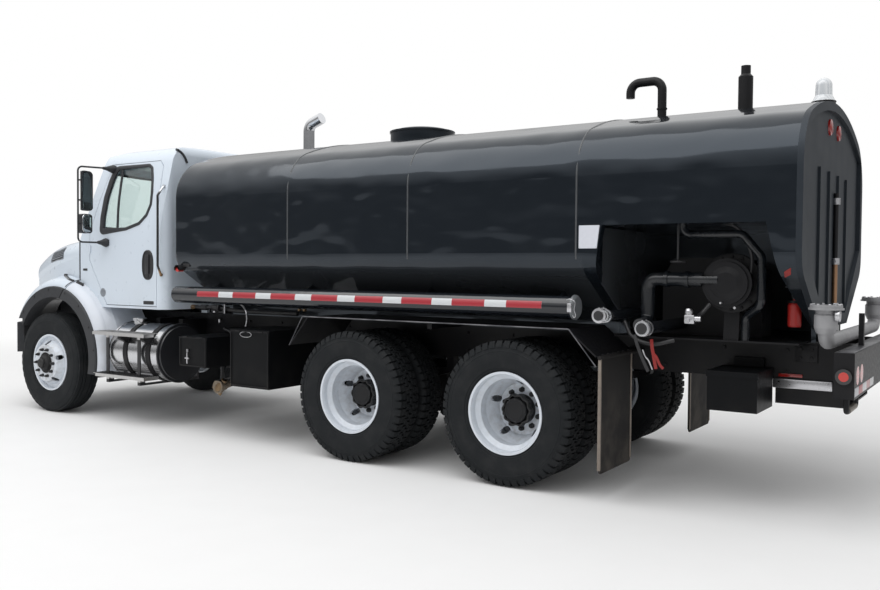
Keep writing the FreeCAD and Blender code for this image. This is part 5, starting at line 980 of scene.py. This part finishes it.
TANK_AXIS = (0, 0.855, 0.705)
piece("fuel_tank_fittings", polished, [
    turn([(1.655, 0.279), (1.655, 0.289), (1.668, 0.292), (1.681, 0.289), (1.681, 0.279)], TANK_AXIS,
        0, 96),
    turn([(2.375, 0.279), (2.375, 0.286), (2.385, 0.288), (2.392, 0.284), (2.392, 0.276)], TANK_AXIS,
        0, 96),
    turn([(0.975, 0.052), (1.003, 0.052), (1.004, 0.06), (1.024, 0.06), (1.03, 0.05)],
        (2.24, 0.87, 0), 2, 36),
    turn([(1.03, 0.05), (1.033, 0.045), (1.034, 0.02)], (2.24, 0.87, 0), 2, 36),
    tube([(2.24, 0.93, 1.018), (2.19, 0.955, 0.985), (2.13, 0.94, 0.975), (2.08, 0.93, 0.972)], 0.004,
        8)])

step_metal = Finish("step_metal", "polished_aluminium", metallic=1.0)
TOP_STEP_LOW, STEP_LOW, STEP_HIGH, STEP_INSIDE = 0.842, 0.428, 0.487, 0.93
step_y, step_z = step_metal.axes()[1:]
tread_plate = (step_z > TOP_STEP_LOW) + (step_z < STEP_HIGH) * (step_z > STEP_LOW)
tread_plate = tread_plate.clamped() * (step_y.sum("ABSOLUTE") > STEP_INSIDE)
step_metal.colour(tread_plate, (0.014, 0.014, 0.016),
    step_metal.blend(step_metal.noise(30.0, 5.0), (0.5, 0.49, 0.48), (0.64, 0.64, 0.64)))
step_metal.feed("Metallic", tread_plate)
step_metal.uneven(0.25, 0.2, 50.0, 4.0)
step_metal.on("cab_steps")
TOOTH = [(-0.006, -0.002), (-0.006, 0.003), (-0.0035, 0.0045), (0.0035, 0.0045), (0.006, 0.003),
    (0.006, -0.002)]
treads, nicks = [], []
for top in (0.9, 0.485):
    for y in np.arange(1.06, 1.215, 0.03):
        treads.append(sweep([(1.765, y, top), (2.535, y, top)], TOOTH))
        nicks.append(copies(block((-0.003, -0.0055, 0.003), (0.003, 0.0055, 0.0075), 0.0012),
            [(x, y, top) for x in np.arange(1.775, 2.53, 0.019)]))
pair("step_treads", step_metal, treads + nicks)

# Painted shade: the boxes' paint is a darker copy of the chassis paint, for the shade they stand in
# below the tank. Road dust lies on it low down.
shaded_box_paint = Finish("shaded_box_paint", roughness=0.4, specular_ior_level=0.12)
shaded_box_paint.feed("Base Color", dusty(shaded_box_paint, (0.0045, 0.005, 0.006), ROAD_DUST, 0.08, 1.1))
shaded_box_paint.uneven(0.32, 0.2, 30.0, 4.0)
shaded_box_paint.grained(500.0, 0.0003, 1.0)
shaded_box_paint.on("side_boxes")
gussets = []
for x in (1.805, 2.145):
    gusset = rounded_loop(
        [(0.935, 0.862), (1.205, 0.862), (1.205, 0.842), (1.12, 0.8), (1.118, 0.7), (1.085, 0.69)],
        0.008)
    gusset = np.insert(gusset, 0, x, axis=1)
    gussets.append(np.stack([gusset - (0.024, 0, 0), gusset + (0.024, 0, 0)]))
pair("step_gussets", chassis_paint, gussets)
bright_steel = Finish("bright_steel", "polished_aluminium", colour=(0.58, 0.58, 0.6), metallic=1.0)
bright_steel.uneven(0.18, 0.25, 60.0, 4.0)
cover_latch = [
    turn([(-0.004, 0.005), (0.0, 0.0062), (0.124, 0.0062), (0.128, 0.005)], (1.262, 1.12, 0.655), 2,
        14),
    turn([(-0.026, 0.0065), (0.026, 0.0065)], (1.262, 1.12, 0.7), 0, 14),
    block((1.252, 1.106, 0.76), (1.272, 1.122, 0.785), 0.003)]
HINGES = [(1.1, 1.108, 0.895), (1.3, 1.108, 0.895), (0.3, 1.138, 0.985), (0.58, 1.138, 0.985)]
hinge_pins = [turn([(-0.028, 0.007), (0.028, 0.007)], place, 0, 12) for place in HINGES]
piece("box_latches", bright_steel, cover_latch)
ring_path = np.insert(oval((0.481, 0.959), (0.07, 0.024), 2.0, 48), 1, 1.1365, axis=1)
piece("box_badge", bright_steel, [], rings=[
    band(ring_path, [(-0.003, -0.001), (-0.002, 0.002), (0.002, 0.002), (0.003, -0.001)], (0, 1, 0))])
# Lids: a lip all round the box's face, and the rim of the big box's door.
LIP = [(-0.004, -0.001), (-0.004, 0.004), (0.004, 0.004), (0.004, -0.001)]
lids = []
for low_x, high_x, low_z, high_z, y in ((1.03, 1.375, 0.63, 0.89, 1.1063),
        (0.215, 0.665, 0.505, 0.985, 1.1363)):
    outline = rounded_loop([(low_x, low_z), (low_x, high_z), (high_x, high_z), (high_x, low_z)],
        0.015)
    lids.append(band(np.insert(outline, 1, y, axis=1), LIP, (0, 1, 0)))
piece("box_lids", chassis_paint, hinge_pins, rings=lids)

# --- valves and lines behind the cab --------------------------------------------------------------
# Water lines to the front spray nozzles: black rubber hose, bronze elbows and a plated air line,
# clipped to the frame behind the cab.

bronze = Finish("bronze", "cast_metal", colour=(0.28, 0.19, 0.11), metallic=0.9)
bronze.uneven(0.3, 0.3, 80.0)
bronze.mottled(50.0, 4.0, (0.33, 0.23, 0.13), (0.2, 0.14, 0.09))
LINE_Y = 0.66
fan = [(1.165, 0.745, 0.468, 0.03, 0.03), (1.19, 0.755, 0.44, 0.034, 0.03),
    (1.215, 0.765, 0.405, 0.052, 0.024), (1.24, 0.775, 0.365, 0.072, 0.02),
    (1.246, 0.777, 0.355, 0.07, 0.014)]
fan_nozzle = [(x, y, z) + circle(1.0, 28) @ [(0.83 * wide, 0, 0.55 * wide), (0, thick, 0)]
    for x, y, z, wide, thick in fan]
pair("front_nozzle", bronze, [fan_nozzle])
piece("front_line_fittings", bronze, [
    turn([(-0.02, 0.022), (0.0, 0.024), (0.022, 0.024), (0.026, 0.02)], (1.7, LINE_Y, 1.15), 0, 6),
    turn([(-0.03, 0.015), (0.05, 0.015)], (1.64, LINE_Y, 1.15), 0, 20),
    turn([(-0.012, 0.014), (0.014, 0.014), (0.018, 0.01)], (0.245, 0.7, 1.168), 1, 6),
    turn([(-0.012, 0.014), (0.014, 0.014), (0.018, 0.01)], (0.185, 0.7, 1.168), 1, 6)])
piece("front_line_plating", bright_steel, [
    tube([(1.34, LINE_Y, 1.2), (1.2, LINE_Y, 1.205), (1.04, LINE_Y + 0.02, 1.2),
        (0.95, LINE_Y + 0.03, 1.15), (0.915, LINE_Y + 0.04, 1.06), (0.93, LINE_Y + 0.04, 0.99)],
        0.008, 10),
    turn([(-0.01, 0.016), (0.03, 0.016), (0.034, 0.01)], (1.4, LINE_Y, 1.115), 2, 20),
    turn([(-0.01, 0.012), (0.02, 0.012)], (1.33, LINE_Y, 1.02), 2, 16),
    turn([(0, 0.008), (0.1, 0.008)], (1.26, LINE_Y, 1.1), 2, 14)])
piece("front_lines", black_trim, [
    tube([(1.66, LINE_Y, 1.15), (1.5, LINE_Y, 1.15), (1.38, LINE_Y, 1.16), (1.2, LINE_Y - 0.05, 1.13),
        (0.8, LINE_Y - 0.1, 1.12), (0.4, LINE_Y - 0.1, 1.12)], 0.02, 14),
    turn([(-0.04, 0.028), (0.04, 0.028)], (1.54, LINE_Y, 1.15), 0, 24),
    turn([(-0.03, 0.034), (0.05, 0.034), (0.055, 0.028)], (1.35, LINE_Y, 1.15), 0, 24),
    tube([(1.205, 0.72, 0.86), (1.21, 0.745, 0.7), (1.205, 0.74, 0.55), (1.205, 0.745, 0.45)], 0.018,
        14),
    tube([(1.27, 0.66, 0.95), (1.12, 0.69, 0.9), (1.0, 0.7, 0.7), (1.08, 0.72, 0.52),
        (1.19, 0.74, 0.47)], 0.012, 12),
    block((1.3, 0.55, 1.1), (1.48, 0.64, 1.16), 0.008)])

# --- water tank and its top -----------------------------------------------------------------------
# A welded steel tank sprayed in black gloss, with a weld bead round it at each baffle, a bolted
# manhole ring, and a blank white plate at the joint with the tail section.

tank_paint = Finish("tank_paint", specular_tint=(0.78, 0.88, 1.0, 1.0), coat_weight=0.0)
BAY_FRONT, BAY_BACK, BAY_HALF, BAY_TOP, TAIL_FRONT, TAIL_BACK = -2.775, -3.95, 0.96, 1.84, -2.7, -4.078
tank_x, tank_y, tank_z = tank_paint.axes()
# Painted light: inside the pump bay the walls are coloured lighter, for light that the shaded recess
# does not get.
in_bay = (tank_x < BAY_FRONT) * (tank_x > BAY_BACK) * (tank_y.sum("ABSOLUTE") < BAY_HALF)
in_bay = in_bay * (tank_z < BAY_TOP)
# Painted reflection: below 1.68 m and ahead of the tail, the tank's lower curve turns lighter for the
# sheen of the floor that it mirrors.
floor_sheen = tank_paint.step(tank_z, 1.68, 1.42) * (tank_x > TAIL_FRONT)
bay_light_and_floor_sheen = tank_paint.blend(in_bay, (0.036, 0.04, 0.045), (0.055, 0.06, 0.066))
tank_paint.colour((floor_sheen + in_bay).clamped(),
    dusty(tank_paint, (0.0075, 0.01, 0.0135), (0.055, 0.055, 0.05), 0.35, 1.9), bay_light_and_floor_sheen)
rear_face = tank_x < TAIL_BACK
gloss = tank_paint.step(tank_paint.noise(4.0, 5.0), 0.3, 0.9) * 0.12 + 0.07
tank_paint.feed("Roughness", gloss.sum("MAXIMUM", rear_face * 0.55))
tank_paint.bump(tank_paint.noise(2.2, 1.0, (1, 1, 2)) + tank_paint.noise(90.0, 1.0) * 0.004, 0.016)
tank_paint.on("water_tank", "rear_housing", "manhole_lid")


WELD_LOW, WELD_HIGH = 1.62, 2.24


def girth(x):
    """A path over the tank at one station: up the left side from WELD_LOW to WELD_HIGH, over the top
    and down the right side to the same height."""
    shell = "water_tank" if x > -2.665 else "rear_housing"
    side = drape(shell, [(x, 1.0, z) for z in np.linspace(WELD_LOW, WELD_HIGH, 14)], 1, 1)
    top_y = side[-1, 1] * np.cos(np.linspace(0.28, math.pi - 0.28, 40))
    top = drape(shell, [(x, y, 2.6) for y in top_y], 2, 1)
    return np.vstack([side, top, side[::-1] * (1, -1, 1)])


BEAD = [(-0.008, -0.002), (-0.005, 0.003), (0, 0.0055), (0.005, 0.003), (0.008, -0.002)]
welds = []
for station in (0.005, -1.245, -2.658):
    path = girth(station)
    outwards = path - (station, 0, 2.0)
    welds.append(sweep(path, BEAD, outwards / np.linalg.norm(outwards, axis=1, keepdims=True)))
# Painted highlight: the beads are coloured grey in lumps, lighter than the tank's black paint, for the
# bright line that each seam shows.
weld_highlight = Finish("weld_bead", "tank_paint", roughness=0.3)
weld_highlight.mottled(40.0, 4.0, (0.03, 0.033, 0.038), (0.1, 0.105, 0.11))
weld_highlight.grained(400.0, 0.0008)
piece("tank_welds", weld_highlight, welds, crease=60)
manhole_ring = np.insert((-0.605, 0) + circle(0.262, 16), 2, 2.775, axis=1)
piece("manhole_bolts", chassis_paint, [hexes(manhole_ring, 2, 0.01, 0.01)])
blank_white = Finish("blank_white", "tank_paint", roughness=0.4)
blank_white.mottled(40.0, 4.0, (0.6, 0.62, 0.68), (0.68, 0.7, 0.76))
plate_loop = rounded_loop([(-2.68, 1.694), (-2.68, 1.85), (-2.831, 1.85), (-2.812, 1.694)], 0.004)
plate_loop = np.insert(plate_loop, 1, 1.1205, axis=1)
piece("body_plate", blank_white, [plate(plate_loop, (0, 1, 0), 0.0025)])
rivets = copies(turn([(0, 0.0035), (0.0012, 0.003), (0.0018, 0.0012)], (0, 1.1228, 0), 1, 10),
    [(-2.688, 0, 1.842), (-2.822, 0, 1.842), (-2.688, 0, 1.702), (-2.805, 0, 1.702)])
piece("body_plate_rivets", bright_steel, [rivets])
# Hood over each round marker lamp at the front corner of the tank.
hood_arc = np.linspace(-0.15 * math.pi, 1.15 * math.pi, 20)
hood_rim = np.column_stack([np.cos(hood_arc), np.sin(hood_arc)])
shell = np.vstack([hood_rim * 0.036, hood_rim[::-1] * 0.033])
marker_hood = [[np.insert((1.37, 1.531) + shell, 1, y, axis=1) for y in (1.075, 1.13, 1.15)],
    block((1.255, 1.083, 1.548), (1.345, 1.1, 1.585), 0.006)]
pair("marker_hood", black_trim, marker_hood)

hose_paint = Finish("hose_paint", coat_weight=0.3, coat_roughness=0.05)
END_CAP = -2.655
end_cap = hose_paint.axes()[0] < END_CAP
hose_paint.colour(end_cap, (0.01, 0.012, 0.016),
    hose_paint.blend(hose_paint.noise(30.0), (0.1, 0.11, 0.12), (0.2, 0.21, 0.22)))
hose_paint.feed("Roughness", end_cap * 0.25 + 0.14)
hose_paint.grained(6.0, 0.004, 2.0)
hose_paint.on("hose_tubes")
tape = Finish("reflective_tape", "tank_paint", roughness=0.35, coat_weight=0.5, coat_roughness=0.1)
TAPE_FRONT, TAPE_BACK, RED_AND_WHITE, RED_SHARE = 1.035, -2.443, 0.457, 0.6105
red_part = ((TAPE_FRONT - tape.axes()[0]) / RED_AND_WHITE).sum("FRACT") < RED_SHARE
tape.colour(red_part, (0.6, 0.62, 0.64), (0.36, 0.01, 0.022))
TAPE_CELLS = 900.0
tape.bump(
    (tape.axes()[0] * TAPE_CELLS).sum("SINE") * (tape.axes()[2] * TAPE_CELLS).sum("SINE"), 0.0002)
arc = np.radians(np.linspace(-9, 29, 9))
across = np.column_stack([np.cos(arc), np.sin(arc)])
strip = np.vstack([across * 0.0774, across[::-1] * 0.0755])
strip_path = np.linspace((TAPE_FRONT, 1.125, 1.293), (TAPE_BACK, 1.125, 1.293), 40)
pair("side_tape", tape, [sweep(strip_path, strip)])
catch_wire = curve([(-2.64, 1.214, 1.345), (-2.668, 1.222, 1.352), (-2.705, 1.222, 1.332),
    (-2.7, 1.224, 1.28), (-2.712, 1.224, 1.245), (-2.7, 1.222, 1.228), (-2.688, 1.222, 1.243)])
pair("tube_catch", bright_steel, [sweep(catch_wire, circle(0.0028, 8), (0, 1, 0)),
    block((-2.676, 1.195, 1.262), (-2.642, 1.216, 1.322), 0.004)])

# --- wheel guards and mud flaps -------------------------------------------------------------------
# Steel guards over the drive wheels have a rolled bright-worn edge. Thick black rubber flaps hang
# behind them, stiffened by a steel strip down each side.

flap_rubber = Finish("flap_rubber", roughness=0.8, specular_ior_level=0.25)
flap_rubber.feed("Base Color",
    dusty(flap_rubber, (0.014, 0.013, 0.013), (0.08, 0.07, 0.06), 0.7, 1.0))
flap_rubber.grained(150.0, 0.0006)
flap_rubber.on("mud_flaps")
strip_metal = Finish("strip_metal", "flap_rubber", metallic=0.5, roughness=0.5)
strip_metal.mottled(25.0, 4.0, (0.3, 0.26, 0.22), (0.19, 0.16, 0.14))
flap_strips = [block((-2.898, y - 0.008, 0.215), (-2.876, y + 0.008, 0.965), 0.003)
    for y in (0.672, 1.214)]
pair("flap_strips", strip_metal, flap_strips)
flap_bolts = hexes([(-2.887, y, 0.981) for y in np.linspace(0.72, 1.17, 6)], 2, 0.009, 0.008)
pair("flap_bolts", chassis_paint, [flap_bolts])
GUARD_EDGE = [(-0.115, 0.905), (-0.26, 1.148), (-2.66, 1.148), (-2.862, 0.905)]
edge_line = np.insert(GUARD_EDGE, 1, 1.2195, axis=1)
guard_edge = [sweep(np.linspace(start, end, 12), circle(0.0045, 8), (0, 1, 0))
    for start, end in zip(edge_line[:-1], edge_line[1:])]

worn_edge = Finish("worn_edge", "chassis_paint", metallic=0.4, roughness=0.35)
worn_edge.colour(worn_edge.step(worn_edge.noise(8.0, 5.0), 0.35, 0.7), (0.05, 0.052, 0.06),
    (0.17, 0.17, 0.18))
pair("guard_edge", worn_edge, guard_edge)

# --- exhaust, engine and radiator -----------------------------------------------------------------
# A chromed stack in a pierced heat shield stands behind the cab on the right. The engine is a cast
# block in grey paint behind a finned aluminium radiator core.

stack_chrome = Finish("stack_chrome", colour=(0.6, 0.61, 0.63), metallic=1.0)
sx, sy, sz = stack_chrome.axes()
HOLE_RATE = 190.0
holes = (sz * HOLE_RATE).sum("SINE") * (sy * HOLE_RATE).sum("SINE") * (sx * HOLE_RATE).sum("SINE")
holes = holes.sum("ABSOLUTE") > 0.35
SHIELD_LOW, SHIELD_HIGH, SHIELD_Y, PIPE_TOP = 1.22, 2.05, -0.93, 1.12
shield = (sz > SHIELD_LOW) * (sz < SHIELD_HIGH) * (sy < SHIELD_Y)
stack_chrome.colour(holes * shield,
    stack_chrome.blend(sz < PIPE_TOP, (0.6, 0.61, 0.63), (0.1, 0.085, 0.075)), (0.01, 0.01, 0.01))
stack_chrome.uneven(0.08, 0.15, 20.0, 4.0)
stack_chrome.on("exhaust_stack")
MUFFLER = (1.58, -0.9, 0)
piece("shield_bands", bright_steel, [
    turn([(z, 0.0985), (z, 0.106), (z + 0.022, 0.106), (z + 0.022, 0.0985)], MUFFLER, 2, 48)
    for z in (1.19, 2.06)])
engine_paint = Finish("engine_paint", roughness=0.5)
engine_paint.mottled(12.0, 5.0, (0.1, 0.105, 0.11), (0.17, 0.17, 0.165))
engine_paint.grained(120.0, 0.001)
engine_paint.on("engine")
radiator_core = Finish("radiator_core", metallic=0.7, roughness=0.5)
fins = (radiator_core.axes()[2] * 900.0).sum("SINE") * 0.5 + 0.5
radiator_core.colour(fins, (0.09, 0.09, 0.09), (0.24, 0.24, 0.24))
radiator_core.bump(fins, 0.002)
radiator_core.on("radiator")

# --- pump bay -------------------------------------------------------------------------------------
# A cast-iron pump sprayed black stands on the frame behind the tank, with black pipes, plated
# quick couplings, pull-rod levers and a small dry-powder extinguisher on the rear wall.

pipe_paint = Finish("pipe_paint", roughness=0.4)
PLATED_Y, PLATED_TOP = 1.1, 1.4
pipe_y, pipe_z = pipe_paint.axes()[1:]
plated = (pipe_y > PLATED_Y) * (pipe_z < PLATED_TOP)
pipe_paint.colour(plated, pipe_paint.blend(pipe_paint.step(pipe_paint.noise(7.0, 5.0), 0.45, 0.8),
    (0.009, 0.011, 0.014), (0.024, 0.025, 0.027)), (0.5, 0.51, 0.53))
pipe_paint.feed("Metallic", plated * 0.95)
pipe_paint.uneven(0.13, 0.15, 60.0)
pipe_paint.grained(180.0, 0.0006, 2.0)
pipe_paint.on("pump_piping")
PUMP_X, PUMP_Z, BOLT_CIRCLE = -3.605, 1.47, 0.176
PUMP_AXIS = (PUMP_X, 0, PUMP_Z)
flange_bolts = [(PUMP_X + BOLT_CIRCLE * math.sin(a), 0.738, PUMP_Z + BOLT_CIRCLE * math.cos(a))
    for a in np.linspace(0, 2 * math.pi, 16, endpoint=False)]
piece("pump_rings", chassis_paint, [
    turn([(0.7, 0.19), (0.702, 0.196), (0.736, 0.196), (0.738, 0.192), (0.738, 0.15)],
        PUMP_AXIS, 1, 72),
    turn([(0.8, 0.118), (0.83, 0.122), (0.845, 0.118)], PUMP_AXIS, 1, 60),
    hexes(flange_bolts, 1, 0.011, 0.012)])
COUPLINGS = ((-2.865, 1.245), (-3.165, 1.172))
coupling_rings = []
for x, z in COUPLINGS:
    for y, radius in ((1.19, 0.05), (1.15, 0.046), (1.118, 0.05)):
        coupling_rings.append(turn(
            [(-0.007, radius - 0.006), (-0.006, radius), (0.006, radius), (0.007, radius - 0.006)],
            (x, y, z), 1, 40))
        coupling_rings.append(
            turn([(-0.004, 0.004), (0.004, 0.004)], (x, y, z + radius + 0.002), 1, 10))
piece("coupling_bores", black_trim, [
    turn([(1.2, radius), (1.2062, radius), (1.2066, 0.8 * radius)], (x, 0, z), 1, 32)
    for (x, z), radius in zip(COUPLINGS, (0.033, 0.037))])
piece("coupling_rings", bright_steel, coupling_rings)
hand_levers = Finish("red_lever", "cast_metal", roughness=0.4)
hand_levers.mottled(60.0, 4.0, (0.3, 0.015, 0.012), (0.2, 0.012, 0.01))
LEVER = np.array([(-0.011, -0.002), (-0.011, 0.002), (0.011, 0.002), (0.011, -0.002)])
piece("red_levers", hand_levers, [
    sweep(curve(
        [(-3.195, 1.1, 1.1), (-3.205, 1.115, 1.05), (-3.215, 1.12, 1.01), (-3.235, 1.12, 0.91)]),
        LEVER, (0, 1, 0)),
    sweep(curve(
        [(-3.215, 1.12, 1.01), (-3.24, 1.125, 0.985), (-3.262, 1.125, 0.94), (-3.285, 1.125, 0.915)]),
        LEVER * (0.8, 1), (0, 1, 0))])
piece("black_levers", black_trim, [
    sweep(curve(
        [(-3.08, 1.105, 1.125), (-3.11, 1.12, 1.05), (-3.15, 1.125, 0.96), (-3.185, 1.125, 0.89)]),
        LEVER, (0, 1, 0)),
    tube([(-3.407, 0.8, 1.862), (-3.636, 0.8, 1.842), (-3.74, 0.8, 1.673), (-3.737, 0.8, 1.512),
        (-3.708, 0.8, 1.379), (-3.629, 0.8, 1.321)], 0.011, 12, (0, 1, 0)),
    tube([(-2.95, 0.95, 1.2), (-3.02, 0.98, 1.1), (-3.16, 1.0, 1.06), (-3.3, 0.96, 1.09)],
        0.014, 12, (0, 1, 0)),
    turn([(1.606, 0.008), (1.846, 0.008)], (-3.312, 0.95, 0), 2, 14),
    turn([(1.6, 0.045), (1.603, 0.05), (1.611, 0.05), (1.614, 0.045)], (-3.312, 0.95, 0), 2, 36),
    tube([(-3.5, 0.86, 1.33), (-3.46, 0.9, 1.27), (-3.44, 0.95, 1.24)], 0.014, 12, (0, 1, 0))])
piece("plated_valves", bright_steel, [block((-3.444, 0.955, 1.205), (-3.378, 1.01, 1.262), 0.006),
    turn([(1.262, 0.026), (1.29, 0.026), (1.302, 0.018)], (-3.402, 0.985, 0), 2, 24),
    turn([(-0.02, 0.019), (0.02, 0.019), (0.024, 0.013)], (-3.462, 0.985, 1.238), 0, 20),
    turn([(1.01, 0.016), (1.04, 0.016)], (-3.405, 0, 1.228), 1, 20),
    sweep(curve(
        [(-3.144, 1.12, 1.03), (-3.165, 1.13, 0.99), (-3.19, 1.13, 0.96), (-3.215, 1.13, 0.905)]),
        LEVER * (0.35, 1), (0, 1, 0)),
    turn([(0.89, 0.007), (0.915, 0.007)], (-3.583, 0, 1.342), 1, 12),
    turn([(0.89, 0.009), (0.91, 0.009)], (-3.672, 0, 1.313), 1, 6),
    turn([(0.6, 0.01), (0.63, 0.01)], (-3.99, 0, 1.4), 1, 12)])
bottle_paint = Finish("bottle_paint", roughness=0.3)
BOTTLE_NECK = 1.372
red_body = bottle_paint.blend(bottle_paint.noise(20.0), (0.3, 0.012, 0.01), (0.36, 0.02, 0.016))
bottle_paint.colour(bottle_paint.axes()[2] > BOTTLE_NECK, red_body, (0.03, 0.03, 0.032))
bottle_paint.uneven(0.25, 0.15, 90.0)
bottle_paint.on("fire_extinguisher")
BOTTLE = (-3.98, 0.63, 0)
piece("bottle_band", chassis_paint,
    [turn([(1.345, 0.041), (1.345, 0.0435), (1.361, 0.0435), (1.361, 0.041)], BOTTLE, 2, 40)])
piece("bottle_head", bright_steel, [
    turn([(1.398, 0.016), (1.415, 0.018), (1.432, 0.014)], BOTTLE, 2, 20),
    sweep(curve([(-3.98, 0.632, 1.432), (-3.955, 0.64, 1.442), (-3.925, 0.652, 1.448)]),
        FLAT_BAR * 0.009),
    turn([(0.646, 0.011), (0.655, 0.011)], (-3.98, 0, 1.415), 1, 20)])
tag_loop = rounded_loop([(-4.004, 1.51), (-4.007, 1.546), (-4.05, 1.572), (-4.044, 1.53)], 0.004)
tag_place = drape("rear_housing", np.insert(tag_loop, 1, 1.0, axis=1), 1, 1)
piece("pull_tag", hand_levers, [plate(tag_place, (0, 0.94, -0.34), 0.004)])

# --- tail beam, spray heads and lamps -------------------------------------------------------------
# A folded steel beam carries round lamps in rubber grommets, barred steps and a worn top plate.
# Two cast spray heads hang from the tank floor, and a clear beacon stands on the rear of the top.

cast_metal = Finish("cast_metal", metallic=0.3, roughness=0.5)
NOZZLE_TOP = 0.46
mx, _, mz = cast_metal.axes()
front_nozzle = (mx > 0.0) * (mz < NOZZLE_TOP)
pale_casting = cast_metal.blend(cast_metal.noise(14.0, 5.0), (0.27, 0.27, 0.28), (0.37, 0.37, 0.38))
brown_nozzle = cast_metal.blend(cast_metal.noise(60.0, 4.0), (0.33, 0.27, 0.2), (0.2, 0.16, 0.12))
cast_metal.colour((mx > 0.0) * (1 - front_nozzle),
    cast_metal.blend(front_nozzle, pale_casting, brown_nozzle), (0.014, 0.014, 0.016))
cast_metal.grained(260.0, 0.0008)
cast_metal.on("spray_heads")
HEAD_X = FRONT_X - 7.64
HEAD_Y, HEAD_CIRCLE = 1.01, 0.083
head_bolts = [(HEAD_X + HEAD_CIRCLE * math.cos(a), HEAD_Y + HEAD_CIRCLE * math.sin(a), 1.35)
    for a in 0.39 + np.arange(8) * math.pi / 4]
pair("spray_bolts", bright_steel, [hexes(head_bolts, 2, 0.009, 0.008),
    turn([(-0.01, 0.03), (-0.008, 0.036), (0.014, 0.036), (0.02, 0.03)],
        (HEAD_X - 0.075, 1.04, 1.29), 0, 28)])
piece("beam_top", worn_edge, [block((-4.42, -1.19, 1.083), (-4.33, 1.19, 1.0885), 0.002)])
red_white = Finish("beam_tape", "tank_paint", roughness=0.35, coat_weight=0.5, coat_roughness=0.1)
TAPE_SHIFT, TAPE_REPEAT = 1.2, 0.3
tape_run = ((red_white.axes()[1] + TAPE_SHIFT) / TAPE_REPEAT).sum("FRACT")
red_white.colour(tape_run < 0.5, (0.42, 0.43, 0.45), (0.3, 0.015, 0.02))
red_white.grained(800.0, 0.0001, 1.0)
pair("beam_tape", red_white, [block((-4.4268, 0.45, 0.835), (-4.4245, 1.19, 0.885), 0.001)])
step_skin = Finish("step_skin", "chassis_paint", metallic=0.5, roughness=0.45)
step_skin.mottled(20.0, 5.0, (0.26, 0.23, 0.19), (0.13, 0.12, 0.11))
pair("step_sleeves", step_skin,
    [turn([(0.8, 0.0165), (0.8, 0.0185), (1.06, 0.0185), (1.06, 0.0165)], (-4.37, 0, 0.735), 1, 24)])
rail_bolts_rear = [(x, 0.446, z) for x in (-3.985, -4.055) for z in (1.035, 0.975)]
piece("rail_plate", chassis_paint, [block((-4.092, 0.43, 0.948), (-3.952, 0.446, 1.064), 0.004),
    hexes(rail_bolts_rear, 1, 0.011, 0.01)])
piece("tail_bar", bright_steel, [block((-4.185, 0.436, 0.765), (-3.81, 0.452, 0.828), 0.006)])
reflector_red = Finish("reflector_red", "lamp_lens", roughness=0.15, coat_weight=0.8)
reflector_red.mottled(300.0, 3.0, (0.24, 0.008, 0.006), (0.32, 0.014, 0.01))
rear_red = [
    turn([(-4.084, 0.056), (-4.098, 0.054), (-4.104, 0.04), (-4.106, 0.012)], (0, y, 2.53), 0, 40)
    for y in (-0.16, 0.16)]
piece("red_reflectors", reflector_red,
    [block((-3.999, 0.434, 0.842), (-3.846, 0.449, 0.864), 0.003)] + rear_red)
copper = Finish("copper_tube", "cast_metal", colour=(0.38, 0.22, 0.13), metallic=0.9)
copper.uneven(0.25, 0.25, 40.0)
piece("sight_tube", copper, [turn([(1.33, 0.0155), (1.33, 0.0168), (1.64, 0.0168), (1.64, 0.0155)],
    (-4.101, -0.06, 0), 2, 24)])
valve_nuts = [turn([(z, 0.021), (z, 0.028), (z + 0.045, 0.028), (z + 0.045, 0.021)],
    (-4.101, -0.06, 0), 2, 20) for z in (1.285, 1.6, 2.02)]
piece("sight_valves", bright_steel,
    valve_nuts + [turn([(-0.075, 0.008), (0.03, 0.008)], (-4.105, -0.05, 1.622), 1, 12)])
beacon_ring = [turn([(2.73, 0.081), (2.733, 0.083), (2.738, 0.081)], (-4.015, 0, 0), 2, 48),
    turn([(2.702, 0.083), (2.704, 0.088), (2.712, 0.088), (2.714, 0.083)], (-4.015, 0, 0), 2, 48)]
piece("top_rings", chassis_paint, beacon_ring + [
    block((-3.96, -0.02, 2.701), (-3.8, 0.02, 2.722), 0.004),
    turn([(2.702, 0.04), (2.704, 0.075), (2.716, 0.075), (2.718, 0.04)], (-2.851, 0, 0), 2, 40),
    turn([(2.99, 0.0345), (2.99, 0.04), (3.0, 0.04), (3.0, 0.0345)], (-2.851, 0, -0.2), 2, 40)])
